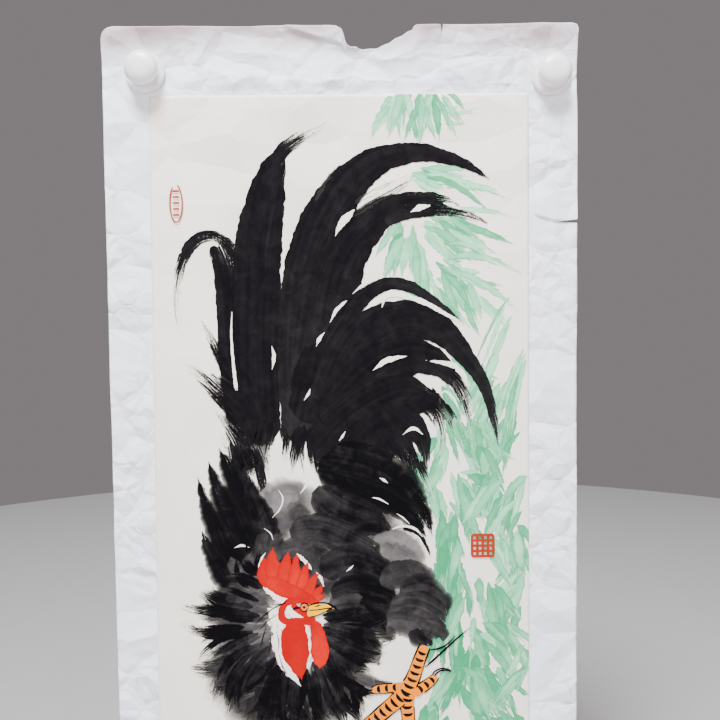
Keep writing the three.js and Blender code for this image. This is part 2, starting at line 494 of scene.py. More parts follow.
def folds(x, z):
    """Facets meeting in sharp folds: waves cut to their sharp side, each coming and going."""
    total = np.zeros_like(x)
    for length, heading, share, phase, sway in FOLDS:
        turn = math.radians(heading)
        along = x * math.cos(turn) + z * math.sin(turn)
        across = z * math.cos(turn) - x * math.sin(turn)
        bent = along + sway * np.sin(across / (length * 0.55) + phase * 2)
        bent = bent + 0.3 * sway * np.sin(across / 7 + phase)
        coming = np.sin(across / (length * 0.8) + along / 61 + phase * 3)
        strength = 0.35 + 0.65 * blend_step(coming, -0.5, 0.7)
        total = total + share * strength * (1 - np.abs(np.sin(np.pi * bent / length + phase)))
    return total


def creases(x, z, table, width):
    """Ridges along wavering lines, sharp on top and falling away over the width."""
    total = np.zeros_like(x)
    for x1, z1, x2, z2, share in table:
        length = math.hypot(x2 - x1, z2 - z1)
        along = ((x - x1) * (x2 - x1) + (z - z1) * (z2 - z1)) / length
        off = ((x - x1) * (z2 - z1) - (z - z1) * (x2 - x1)) / length
        off = off + 2.2 * np.sin(along / 9 + x1) + 1.1 * np.sin(along / 3.7 + z1)
        ends = blend_step(along, 0, 12) * (1 - blend_step(along, length - 12, length))
        total = total + share * ends * np.exp(-np.abs(off) / width)
    return total


def margins(x, z):
    """1 on the margins round the painting and 0 behind it."""
    left, right = PAINTING_LOW.x / MM, PAINTING_HIGH.x / MM
    bottom, top = PAINTING_LOW.z / MM, PAINTING_HIGH.z / MM
    return blend_step(np.maximum.reduce([left - x, x - right, z - top, bottom - z]), 2, 12)


def lifted_edges(x, z):
    """How far the sheet lifts at its edges, its torn bite and its tear, as a multiple of the edge curl."""
    left, right = BACKING_LOW.x / MM, BACKING_HIGH.x / MM
    bottom, top = BACKING_LOW.z / MM, BACKING_HIGH.z / MM
    waving = 0.55 + 0.45 * np.sin(z / 47 + np.where(x > 0, 1.3, 3.9)) * np.cos(z / 113)
    lift = waving * (1 - blend_step(np.minimum(x - left, right - x), 0, 26))
    lift = lift + 1.5 * (1 - blend_step(z - bottom, 0, 70))
    rolled = 1.0 + 0.35 * np.sin(x / 31 + 0.6) + 0.2 * np.sin(x / 13)
    lift = lift + 1.5 * rolled * (1 - blend_step(top - z, 0, 24))
    round_bite = np.hypot((x - 34) / 1.7, z - top)
    lift = lift + 0.9 * (1 - blend_step(round_bite, 18, 40))
    # the folded corner at the left of the bite
    fold = (z - 41 + (x + 58) * 0.3) * blend_step(x, -60, -30) * (1 - blend_step(x, 12, 18))
    lift = lift + 1.3 * blend_step(fold, 0, 1.2) * (1 - 0.6 * blend_step(fold, 1.2, 18))
    line = np.array(TEAR_LINE)
    above = z - np.interp(x, line[:, 0], line[:, 1])
    flap = blend_step(above, -0.5, 0.4) * (1 - blend_step(above, 0.4, 34))
    return lift + 1.1 * flap * blend_step(x, line[0, 0] + 1, line[1, 0] + 2)


def relief(x, z):
    """How far the sheet's back stands off the wall, in metres, at places given in metres."""
    sheet = settings().sheet
    x = np.asarray(x, float) / MM
    z = np.asarray(z, float) / MM
    margin = margins(x, z)
    crumpled = 0.6 + 0.6 * blend_step(z, -170, -10)
    height = sheet.cockle * (0.62 + 0.6 * waves(x, z))
    height = height + sheet.crumple * margin * crumpled * folds(x, z)
    height = height + sheet.crease * margin * (0.8 + creases(x, z, CREASES, 1.7))
    height = height + sheet.crease * 0.55 * (1 - margin) * (1.0 + creases(x, z, PAPER_CREASES, 3.6))
    height = height + sheet.curl * lifted_edges(x, z)
    pressed = np.ones_like(x)
    for place in KNOB_PLACES:
        pressed = pressed * blend_step(np.hypot(x - place.x / MM, z - place.z / MM), 19, 46)
    return np.maximum(height, 0) * pressed


# ---------------------------------------------------------------- the papers


def new_piece(name, bm, material):
    """An object with the mesh and the material, in the scene."""
    mesh = bpy.data.meshes.new(name)
    bm.to_mesh(mesh)
    bm.free()
    mesh.materials.append(material)
    piece = bpy.data.objects.new(name, mesh)
    bpy.context.scene.collection.objects.link(piece)
    mesh.shade_smooth()
    return piece


def follow_sheet(piece):
    """Bakes the piece's placement into its mesh."""
    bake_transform(piece)


def spaced(*stops):
    """Places from stop to stop, each given with the spacing up to it."""
    places = [stops[0]]
    for place, spacing in stops[1:]:
        steps = max(1, round(abs(place - places[-1]) / spacing))
        places.extend(np.linspace(places[-1], place, steps + 1)[1:])
    return np.array(places)


# The backing's top edge, in millimetres across and down from its highest line: the worn corners, the torn
# bite and the slit.
TOP_EDGE = (
    (-215.5, 11.0), (-214.8, 7.2), (-212.6, 3.6), (-209.0, 1.0), (-204.0, 0.0), (-120, 0.5), (-60, 0.2),
    (-12, 0.8), (-3, 1.6), (2.5, 5.5), (4.0, 13.0), (6.0, 18.5), (10.0, 20.3), (14.0, 20.0), (20.0, 21.8),
    (27.0, 21.2), (33.0, 21.4), (39.0, 18.6), (45.0, 16.4), (50.0, 12.6), (56.0, 10.4), (61.0, 6.8),
    (65.5, 5.2), (67.0, 1.8), (69.5, 0.6), (91.0, 0.3), (92.2, 0.4), (91.6, 14.5), (93.2, 0.3), (150, 0.0),
    (209, 0.4), (213.6, 1.4), (215.5, 5.0),
)
# The right edge, in millimetres down from the top line and in from the edge: a tear runs in from it.
RIGHT_EDGE = (
    (0, 0), (60, 0.2), (130, 0), (176.2, 0.3), (178.2, 21), (179.2, 0.2), (300, 0.4), (520, 0), (810, 0),
)


def backing_place(across, up):
    """Where a corner of the backing's grid lies. The rows above the painting rise to the frayed top edge,
    and the columns of the right margin reach to the frayed right edge."""
    base = PAINTING_HIGH.z + 4 * MM
    edge = np.array(TOP_EDGE)
    top = BACKING_HIGH.z - np.interp(across / MM, edge[:, 0], edge[:, 1]) * MM
    share = np.clip((up - base) / (BACKING_HIGH.z - base), 0, 1)
    z = np.where(up > base, base + share * (top - base), up)
    inner = PAINTING_HIGH.x + 8 * MM
    tear = np.array(RIGHT_EDGE)
    reach = BACKING_HIGH.x - np.interp((BACKING_HIGH.z - z) / MM, tear[:, 0], tear[:, 1]) * MM
    share = np.clip((across - inner) / (BACKING_HIGH.x - inner), 0, 1)
    x = np.where(across > inner, inner + share * (reach - inner), across)
    return x, -relief(x, z) - BACKING_THICKNESS, z


def make_grid(bm, columns, rows, place):
    """A grid of quads whose corners are put where place() says."""
    made = bmesh.ops.create_grid(bm, x_segments=len(columns) - 1, y_segments=len(rows) - 1, size=1)
    across, up = np.meshgrid(columns, rows)
    x, y, z = place(across, up)
    for vert, *corner in zip(made["verts"], x.flat, y.flat, z.flat):
        vert.co = corner


def make_paper(name, columns, rows, place, thickness, material):
    """A sheet of paper, made solid with its thickness."""
    bm = bmesh.new()
    make_grid(bm, columns, rows, place)
    piece = new_piece(name, bm, material)
    solid = piece.modifiers.new("Thickness", "SOLIDIFY")
    solid.thickness = thickness
    solid.offset = -1
    follow_sheet(piece)
    return piece


def with_stops(places, stops):
    """The places, with the stops in the stead of those between the first stop and the last."""
    outside = places[(places < min(stops)) | (places > max(stops))]
    return np.unique(np.concatenate([outside, stops]))


SLIT_COLUMNS = np.array([91.0, 92.2, 92.7, 93.2]) * MM
TEAR_ROWS = BACKING_HIGH.z - np.array([176.2, 177.2, 178.2, 178.7, 179.2]) * MM


def make_backing_sheet():
    """The grid is fine in the margins, the torn bite and the tear, and coarser behind the painting."""
    columns = spaced(
        BACKING_LOW.x, (BACKING_LOW.x + 12 * MM, 1.2 * MM), (PAINTING_LOW.x + 4 * MM, 2.0 * MM),
        (0, 3.6 * MM), (70 * MM, 1.6 * MM), (PAINTING_HIGH.x - 4 * MM, 3.6 * MM),
        (BACKING_HIGH.x, 1.7 * MM),
    )
    rows = spaced(
        BACKING_LOW.z, (PAINTING_LOW.z + 6 * MM, 3.0 * MM), (-141 * MM, 4.0 * MM), (-122 * MM, 0.9 * MM),
        (PAINTING_HIGH.z - 8 * MM, 3.0 * MM), (BACKING_HIGH.z, 1.15 * MM),
    )
    columns = with_stops(columns, SLIT_COLUMNS)
    rows = with_stops(rows, TEAR_ROWS)
    material = backing_paper_material()
    piece = make_paper("backing_sheet", columns, rows, backing_place, BACKING_THICKNESS, material)
    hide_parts("backing_sheet_top", "backing_sheet_lower")


PAINTING_LEAN = 5.0 * MM  # the painting's left edge leans out by this much towards its foot


def leaned(x, z):
    """The painting was cut a little wider at its foot, on the left."""
    down = (PAINTING_HIGH.z - z) / (PAINTING_HIGH.z - PAINTING_LOW.z)
    share = (PAINTING_HIGH.x - x) / (PAINTING_HIGH.x - PAINTING_LOW.x)
    return x - PAINTING_LEAN * down * share


def painting_place(across, up):
    """Where a corner of the painting's grid lies, on the backing's relief."""
    x = leaned(across, up)
    return x, -relief(x, up) - BACKING_THICKNESS - PAINTING_THICKNESS, up


def make_painting_sheet():
    """The painting's own paper, with nothing on it yet."""
    canvas.clear()
    PAINTED.clear()
    columns = spaced(PAINTING_LOW.x, (PAINTING_HIGH.x, 2.7 * MM))
    rows = spaced(PAINTING_LOW.z, (PAINTING_HIGH.z, 2.7 * MM))
    material = painting_paper_material()
    piece = make_paper("painting_sheet", columns, rows, painting_place, PAINTING_THICKNESS, material)
    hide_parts("painting_sheet_top", "painting_sheet_lower")


# ---------------------------------------------------------------- the brush

PAINT_OFFSET = 0.05 * MM  # the first layer of paint stands this far off the paper
LAYER_STEP = 0.0022 * MM  # and each stroke this far off the one before
TRIM = 0.4 * MM  # paint stops this far inside the painting's edges
LATTICE = (97, 89)  # rows and columns of the random lattice that the bristles' streaks repeat over


def finer(grid, times=3):
    """The grid with more values between its own."""
    for axis in (0, 1):
        count = grid.shape[axis]
        spot = np.linspace(0, count - 1, (count - 1) * times + 1)
        low = np.minimum(spot.astype(int), count - 2)
        share = (spot - low).reshape([-1 if k == axis else 1 for k in range(grid.ndim)])
        grid = np.take(grid, low, axis) * (1 - share) + np.take(grid, low + 1, axis) * share
    return grid


class Canvas:
    """What has been painted so far, as a tint of the paper, in cells of the painting."""

    CELL = 1.0

    def __init__(self):
        self.clear()

    def clear(self):
        width = (PAINTING_HIGH.x - PAINTING_LOW.x) / MM
        height = (PAINTING_HIGH.z - PAINTING_LOW.z) / MM
        self.shape = (int(height / self.CELL) + 2, int(width / self.CELL) + 2)
        self.tint = np.ones((*self.shape, 3))
        self.layer = 0
        self.built_up = 0.0

    def seen(self, across, down):
        """The tint at each place, evened out between the cells round it."""
        row = np.clip(down / self.CELL - 0.5, 0, self.shape[0] - 1.001)
        column = np.clip(across / self.CELL - 0.5, 0, self.shape[1] - 1.001)
        i, j = row.astype(int), column.astype(int)
        v, u = (row - i)[..., None], (column - j)[..., None]
        upper = self.tint[i, j] * (1 - u) + self.tint[i, j + 1] * u
        lower = self.tint[i + 1, j] * (1 - u) + self.tint[i + 1, j + 1] * u
        return upper * (1 - v) + lower * v

    def lay(self, across, down, colour, strength, glaze):
        """Tints the cells that a stroke covers."""
        across, down, colour, strength = (finer(grid) for grid in (across, down, colour, strength))
        inside = (across > 0) & (down > 0)
        row = np.clip((down / self.CELL).astype(int), 0, self.shape[0] - 1)[inside]
        column = np.clip((across / self.CELL).astype(int), 0, self.shape[1] - 1)[inside]
        below = self.tint[row, column]
        laid = colour[inside] * (below * glaze + 1 - glaze)
        self.tint[row, column] = below + (laid - below) * strength[inside][:, None]


canvas = Canvas()
PAINTED = []  # the pieces of paint, in order


def smooth_path(points, spacing):
    """Evenly spaced places and widths on a smooth curve through points given as across, down, width."""
    points = np.array(points, float)
    ends = np.vstack([2 * points[0] - points[1], points, 2 * points[-1] - points[-2]])
    fine = []
    for a, b, c, d in zip(ends, ends[1:], ends[2:], ends[3:]):
        u = np.linspace(0, 1, 20, endpoint=False)[:, None]
        bend = (2 * a - 5 * b + 4 * c - d) * u**2 + (3 * b - a - 3 * c + d) * u**3
        spot = 0.5 * (2 * b + (c - a) * u + bend)
        spot[:, 2] = (b + (c - b) * u * u * (3 - 2 * u))[:, 2]
        fine.append(spot)
    fine = np.vstack([*fine, points[-1]])
    length = np.concatenate([[0], np.cumsum(np.hypot(*np.diff(fine[:, :2], axis=0).T))])
    steps = max(3, round(length[-1] / spacing))
    along = np.linspace(0, length[-1], steps + 1)
    return along, *(np.interp(along, length, fine[:, k]) for k in range(3))


def headings(x, z):
    """The unit direction along a path at each of its places."""
    heading = np.stack([np.gradient(x), np.gradient(z)])
    return heading / np.maximum(np.hypot(*heading), 1e-9)


def wander(along, seed, shortest):
    """A wavering line from -1 to 1, in waves of several lengths from the shortest up."""
    random = np.random.RandomState(seed)
    total = np.zeros_like(along)
    for share, stretch in ((0.45, 5.0), (0.3, 2.2), (0.25, 1.0)):
        length = shortest * stretch * random.uniform(0.8, 1.25)
        total = total + share * np.sin(2 * np.pi * along / length + random.uniform(0, 6.28))
    return total


def bristles(along, across, seed, lengthwise, crosswise):
    """Streaky noise from 0 to 1: long along the stroke and narrow across it."""
    lattice = np.random.RandomState(seed).rand(*LATTICE)
    u = along / lengthwise + 40
    v = across / crosswise + 40
    row, column = np.floor(u).astype(int), np.floor(v).astype(int)
    fu, fv = u - row, v - column
    fu, fv = fu * fu * (3 - 2 * fu), fv * fv * (3 - 2 * fv)

    def at(i, j):
        return lattice[(row + i) % LATTICE[0], (column + j) % LATTICE[1]]

    near = at(0, 0) * (1 - fv) + at(0, 1) * fv
    far = at(1, 0) * (1 - fv) + at(1, 1) * fv
    return near * (1 - fu) + far * fu


def profile(share, values):
    """The value at each share of a stroke's length: one that holds all along, or several run through."""
    values = np.atleast_1d(np.asarray(values, float))
    if len(values) == 1:
        return np.full_like(share, values[0])
    return np.interp(share, np.linspace(0, 1, len(values)), values)


def half_width(along, width, ragged, seed):
    """How far one side of a stroke reaches from its middle line, with a wavering outline."""
    even = np.maximum(width / 2 * (1 + 0.05 * wander(along, seed, 9)), 0.15)
    return even + ragged * wander(along, seed + 5, 2.6) * np.minimum(1, width / 6)


class Brush:
    """Lays strokes of one paint, all as one piece."""

    def __init__(self, name, material, tint=(0.02, 0.02, 0.02), glaze=1.0, step=LAYER_STEP):
        self.name = name
        self.material = material
        self.tint = np.array(tint, float)
        self.glaze = glaze
        self.step = step
        self.bm = bmesh.new()
        self.marks = [self.bm.verts.layers.float_vector.new(mark) for mark in ("brush", "wash", "ground")]

    def strokes(self, paths, **look):
        """One stroke along each path, all with the same look."""
        for points in paths:
            self.stroke(points, **look)

    def stroke(
        self, points, dry=0.1, tone=0.1, fade=0.0, soft=0.0, rim=0.0, edge=0.25, ragged=0.5,
        cell=(1.5, 0.8), gaps=True,
    ):
        """One stroke along the points. dry, tone and fade may each run through several values from end to
        end. Towards its sides, soft fades it, rim thickens its colour and edge dries it. ragged is how far
        its outline wavers, and cell how long and wide its faces are, in millimetres."""
        seed = canvas.layer * 7 + 11
        along, centre_x, centre_z, width = smooth_path(points, cell[0])
        columns = int(np.clip(round(width.max() / cell[1]), 3, 90))
        blunt = 0.3 * width.max()
        ends = blend_step(np.minimum(along, along[-1] - along), -0.25 * blunt, blunt)
        width = width * np.sqrt(ends)
        across = np.linspace(-1, 1, columns + 1)
        left, right = (half_width(along, width, ragged, seed + side)[:, None] for side in (0, 1))
        reach = np.where(across < 0, left, right) * across
        ahead_x, ahead_z = headings(centre_x, centre_z)[..., None]
        x = centre_x[:, None] - ahead_z * reach
        z = centre_z[:, None] + ahead_x * reach
        side = np.abs(across)
        dryness, tones, faded = (profile(along / along[-1], value)[:, None] for value in (dry, tone, fade))
        dryness = np.clip(dryness + edge * dryness * side**3, 0, 1)
        tones = np.clip(tones - rim * (side**4 - 0.3), 0, 1)
        faded = np.clip(faded + soft * side**2.2, 0, 1)
        first = len(self.bm.faces)
        self.lay_corners(along, x, z, reach, dryness, tones, faded)
        if gaps:
            self.open_gaps(first, along, reach, dryness, seed)
        strength = (1 - blend_step(faded, *FADE_ENDS)) * (1 - blend_step(dryness, 0.2, 0.9))
        shade = self.tint + (1 - self.tint) * (tones[..., None] ** THINNING) * 0.45
        canvas.lay(x, z, shade, strength, self.glaze)
        canvas.layer += 1
        canvas.built_up += self.step

    def lay_corners(self, along, x, z, reach, dryness, tones, faded):
        """Adds the stroke's grid, with what its material reads at each corner."""
        x_place = PAINTING_LOW.x + x * MM
        z_place = PAINTING_HIGH.z - z * MM
        off = BACKING_THICKNESS + PAINTING_THICKNESS + PAINT_OFFSET + canvas.built_up
        y_place = -relief(x_place, z_place) - off
        columns, rows = x.shape[1] - 1, x.shape[0] - 1
        made = bmesh.ops.create_grid(self.bm, x_segments=columns, y_segments=rows, size=1)["verts"]
        lengthwise = np.broadcast_to(along[:, None] * MM + 0.37 * canvas.layer, x.shape)
        nothing = np.zeros_like(x)
        places = np.stack([x_place, y_place, z_place], axis=-1)
        streaks = np.stack([lengthwise, reach * MM, dryness], axis=-1)
        washes = np.stack([tones, faded, nothing], axis=-1)
        marks = (grid.reshape(-1, 3).tolist() for grid in (places, streaks, washes, canvas.seen(x, z)))
        for vert, place, *values in zip(made, *marks):
            vert.co = place
            for mark, value in zip(self.marks, values):
                vert[mark] = value

    def open_gaps(self, first, along, reach, dryness, seed):
        """Leaves out the faces where the bristles of a dry brush did not touch the paper."""
        middle = (along[1:] + along[:-1]) / 2
        spots = (reach[1:, 1:] + reach[:-1, :-1]) / 2
        streaks = 0.5 * bristles(middle[:, None], spots, seed, 26, 1.5)
        streaks = streaks + 0.3 * bristles(middle[:, None], spots, seed + 1, 5, 1.0)
        streaks = streaks + 0.2 * bristles(middle[:, None], spots, seed + 2, 1.8, 1.3)
        wanting = (dryness[1:, 1:] + dryness[:-1, :-1]) / 2 - 0.18
        bare = (streaks < wanting * 0.95).ravel()
        self.bm.faces.ensure_lookup_table()
        gone = [self.bm.faces[first + i] for i in np.flatnonzero(bare)]
        bmesh.ops.delete(self.bm, geom=gone, context="FACES")

    def trim(self):
        """Cuts the paint off at the painting's edges."""
        edges = (
            ((PAINTING_HIGH.x - TRIM, 0, 0), (1, 0, 0)),
            ((0, 0, PAINTING_HIGH.z - TRIM), (0, 0, 1)),
            ((0, 0, PAINTING_LOW.z + TRIM), (0, 0, -1)),
        )
        for spot, outward in edges:
            everything = [*self.bm.verts, *self.bm.edges, *self.bm.faces]
            bmesh.ops.bisect_plane(
                self.bm, geom=everything, plane_co=spot, plane_no=outward, clear_outer=True
            )

    def lift(self):
        """Finishes the piece. Loose corners left beside gaps go."""
        loose = [vert for vert in self.bm.verts if not vert.link_faces]
        bmesh.ops.delete(self.bm, geom=loose, context="VERTS")
        self.trim()
        piece = new_piece(self.name, self.bm, self.material)
        follow_sheet(piece)
        PAINTED.append(piece)


def leave_bare(name, paths, **look):
    """Strokes of bare paper over what has been painted."""
    material = painting_paper_material()
    material.name = "bare_paper"
    bare = Brush(name, material, tint=(1, 1, 1), glaze=0)
    bare.strokes(paths, **look)
    bare.lift()


def ink_material(name, glaze=0.15, mottle=0.16):
    paint = settings().paint
    return paint_material(name, paint.ink, paint.wash, glaze=glaze, matt=0.68, mottle=mottle)


# ---------------------------------------------------------------- willow leaves

# Sprays of leaves: where the twig starts and how far it runs, the leaves' first and last headings in
# degrees from the right and clockwise, their number, length and width, and how watered the green is.
SPRAYS = (
    ((230, -4), (30, 4), (80, 106), 5, 46, 9, 0.45),
    ((236, 8), (26, 10), (60, 120), 6, 30, 7, 0.6),
    ((228, -6), (8, 6), (88, 112), 5, 40, 10, 0.35),
    ((224, 2), (-8, 16), (112, 132), 4, 26, 8, 0.6),
    ((252, -8), (6, 8), (72, 100), 5, 40, 9, 0.4),
    ((262, -6), (8, 16), (36, 66), 6, 34, 7, 0.55),
    ((272, 16), (8, 8), (4, -30), 4, 20, 3, 0.9),
    ((238, 62), (12, 22), (4, 26), 6, 56, 10, 0.45),
    ((240, 74), (22, 26), (22, 40), 7, 60, 10, 0.35),
    ((262, 78), (22, 8), (-2, 12), 4, 46, 7, 0.8),
    ((228, 112), (-4, 26), (96, 128), 8, 46, 10, 0.3),
    ((236, 112), (8, 30), (66, 96), 9, 56, 11, 0.35),
    ((244, 112), (18, 18), (32, 62), 9, 58, 10, 0.45),
    ((248, 108), (30, 18), (6, 34), 9, 58, 9, 0.5),
    ((262, 138), (14, 30), (6, 30), 7, 60, 8, 0.6),
    ((254, 150), (18, 34), (38, 66), 10, 52, 10, 0.45),
    ((286, 158), (12, 36), (30, 70), 8, 44, 8, 0.65),
    ((236, 160), (6, 30), (74, 96), 5, 44, 9, 0.5),
    ((330, 180), (-10, 40), (104, 116), 4, 86, 5, 0.6),
    ((342, 200), (-6, 60), (98, 112), 5, 70, 6, 0.5),
    ((276, 232), (16, 40), (34, 74), 10, 46, 9, 0.55),
    ((300, 236), (20, 40), (96, 128), 9, 46, 9, 0.55),
    ((330, 250), (8, 40), (104, 124), 8, 62, 8, 0.45),
    ((262, 262), (12, 40), (46, 78), 10, 46, 10, 0.4),
    ((256, 300), (14, 40), (96, 124), 12, 46, 10, 0.35),
    ((274, 296), (30, 40), (42, 84), 16, 46, 10, 0.35),
    ((306, 290), (30, 30), (100, 130), 12, 56, 9, 0.45),
    ((236, 326), (20, 40), (58, 96), 12, 44, 10, 0.3),
    ((272, 340), (30, 40), (36, 78), 18, 48, 10, 0.35),
    ((308, 346), (34, 40), (96, 132), 14, 54, 9, 0.4),
    ((262, 380), (20, 50), (70, 110), 14, 48, 11, 0.25),
    ((300, 386), (40, 40), (44, 84), 14, 46, 9, 0.5),
    ((336, 380), (6, 60), (100, 128), 8, 52, 8, 0.55),
    ((270, 430), (16, 40), (92, 118), 12, 46, 10, 0.3),
    ((252, 420), (12, 40), (74, 100), 8, 44, 9, 0.35),
    ((262, 462), (14, 40), (86, 112), 10, 46, 10, 0.3),
    ((288, 436), (30, 40), (48, 88), 16, 50, 10, 0.35),
    ((326, 440), (16, 50), (98, 132), 10, 50, 9, 0.5),
    ((276, 486), (20, 40), (72, 104), 14, 50, 12, 0.2),
    ((298, 486), (30, 30), (30, 62), 14, 50, 10, 0.35),
    ((338, 500), (4, 40), (108, 140), 7, 46, 8, 0.5),
    ((264, 532), (16, 30), (96, 126), 12, 46, 11, 0.3),
    ((280, 530), (40, 30), (34, 76), 18, 52, 11, 0.3),
    ((248, 566), (20, 36), (84, 118), 12, 46, 11, 0.35),
    ((286, 572), (46, 30), (40, 84), 16, 48, 10, 0.4),
    ((256, 612), (70, 16), (50, 110), 18, 44, 9, 0.5),
)


def spray(brush, random, start, run, turns, count, length, width, tone):
    """Leaves hanging from a twig, each a tapering dab of a loaded brush."""
    for k in range(count):
        share = (k + random.uniform(0, 1)) / count
        turn = math.radians(turns[0] + (turns[1] - turns[0]) * share + random.uniform(-7, 7))
        x = start[0] + run[0] * random.uniform(0, 1) + random.uniform(-3, 3)
        z = start[1] + run[1] * random.uniform(0, 1) + random.uniform(-3, 3)
        size = length * random.uniform(0.6, 1.2)
        thick = width * random.uniform(0.6, 1.15)
        sag = random.uniform(-0.08, 0.12) * size
        step_x, step_z = math.cos(turn) * size, math.sin(turn) * size
        path = [
            (x, z, thick * 0.3),
            (x + step_x * 0.28, z + step_z * 0.28 - sag, thick * 0.9),
            (x + step_x * 0.62, z + step_z * 0.62 - sag * 0.8, thick * 0.75),
            (x + step_x, z + step_z + sag * 0.5, 0.5),
        ]
        shade = tone + random.uniform(-0.35, 0.35)
        brush.stroke(
            path, dry=(0.25, 0.2, 0.36, 0.6), tone=(shade, shade + 0.15, shade - 0.15), rim=0.35,
            ragged=0.8, cell=(2.0, 1.1),
        )


def paint_willow_leaves():
    paint = settings().paint
    random = np.random.RandomState(4)
    material = paint_material(
        "leaf_wash", paint.leaf, paint.pale_leaf, glaze=0.12, matt=0.8, bristle=420, mottle=0.7
    )
    brush = Brush("willow_leaves", material, tint=(0.3, 0.66, 0.5), glaze=0.12, step=LAYER_STEP * 0.35)
    for k in random.permutation(len(SPRAYS)):
        spray(brush, random, *SPRAYS[k])
    brush.lift()


# ---------------------------------------------------------------- tail

# Feathers: the points of each, given as across, down and width, and its dryness from end to end.
TALL_FEATHERS = (
    # the curled feather at the far left: its rise and its dry fall
    ([(76, 300, 20), (71, 262, 20), (68, 232, 19), (67, 200, 18), (65, 172, 17), (61, 150, 13),
      (55, 136, 10)], (0.08, 0.08, 0.12, 0.2, 0.3)),
    ([(72, 182, 10), (70, 162, 13), (67, 146, 11), (62, 134, 6)], (0.2, 0.25, 0.4)),
    ([(79, 158, 5), (72, 138, 10), (58, 127, 9), (45, 128, 11), (34, 137, 11), (26, 153, 9), (22, 172, 8),
      (21, 190, 7), (23, 207, 5), (27, 220, 1.5)], (0.35, 0.3, 0.36, 0.25, 0.3, 0.5, 0.6, 0.66, 0.72)),
    # the tall straight feather, with a dry broken tip
    ([(98, 320, 30), (96, 290, 38), (94, 250, 44), (94, 204, 46), (96, 149, 44), (100, 118, 41),
      (105, 92, 35), (111, 70, 25), (117, 56, 17), (122, 50, 10)],
     (0.3, 0.1, 0.06, 0.06, 0.06, 0.08, 0.15, 0.3)),
    ([(113, 62, 12), (121, 50, 13), (131, 42, 12), (141, 36, 10)], (0.15, 0.22, 0.42, 0.5)),
    ([(138, 38, 8), (148, 33, 8), (156, 28, 5), (164, 24, 1)], (0.5, 0.6, 0.75)),
    # short dry feathers thrown out to the left
    ([(92, 304, 22), (79, 290, 22), (64, 275, 20), (51, 262, 16), (39, 252, 11), (27, 243, 4)],
     (0.1, 0.15, 0.25, 0.4, 0.55, 0.68)),
    ([(80, 262, 16), (69, 249, 14), (60, 236, 11), (52, 220, 7), (43, 203, 2)], (0.15, 0.25, 0.4, 0.6)),
    ([(86, 276, 16), (70, 266, 14), (58, 256, 8)], (0.12, 0.3, 0.5)),
    ([(94, 336, 20), (82, 330, 18), (72, 312, 14), (63, 297, 9), (54, 286, 2)], (0.25, 0.3, 0.45, 0.62)),
    ([(90, 318, 20), (78, 304, 18), (68, 292, 11), (62, 286, 4)], (0.2, 0.35, 0.55)),
    ([(92, 344, 12), (78, 338, 13), (66, 322, 10), (58, 308, 3)], (0.45, 0.5, 0.6, 0.7)),
)

SICKLE_FEATHERS = (
    ([(132, 318, 30), (132, 292, 34), (134, 256, 40), (136, 205, 42), (141, 166, 44), (150, 134, 45),
      (163, 106, 43), (180, 82, 36), (199, 65, 29), (221, 56, 22), (246, 53, 17), (268, 57, 13),
      (286, 63, 9), (300, 71, 5), (310, 78, 0.8)], (0.15, 0.06, 0.06, 0.06, 0.06, 0.06, 0.1, 0.3)),
    ([(150, 262, 48), (158, 210, 52), (166, 170, 50), (178, 141, 44), (194, 122, 35), (213, 107, 27),
      (233, 99, 20), (253, 96, 15), (270, 98, 10), (282, 101, 6)],
     (0.06, 0.06, 0.06, 0.06, 0.08, 0.12, 0.2, 0.5)),
    ([(214, 116, 10), (233, 109, 10), (252, 107, 9), (271, 106, 10), (286, 109, 8), (298, 113, 5),
      (308, 118, 1)], (0.1, 0.15, 0.25, 0.45, 0.5)),
    ([(150, 96, 2), (158, 82, 5), (168, 68, 5), (176, 58, 1.5)], (0.6, 0.66, 0.75)),
    ([(184, 110, 4), (202, 98, 8), (222, 88, 7), (240, 76, 1)], (0.45, 0.5, 0.62)),
    ([(186, 98, 3), (204, 87, 6), (224, 77, 3)], (0.55, 0.65)),
)

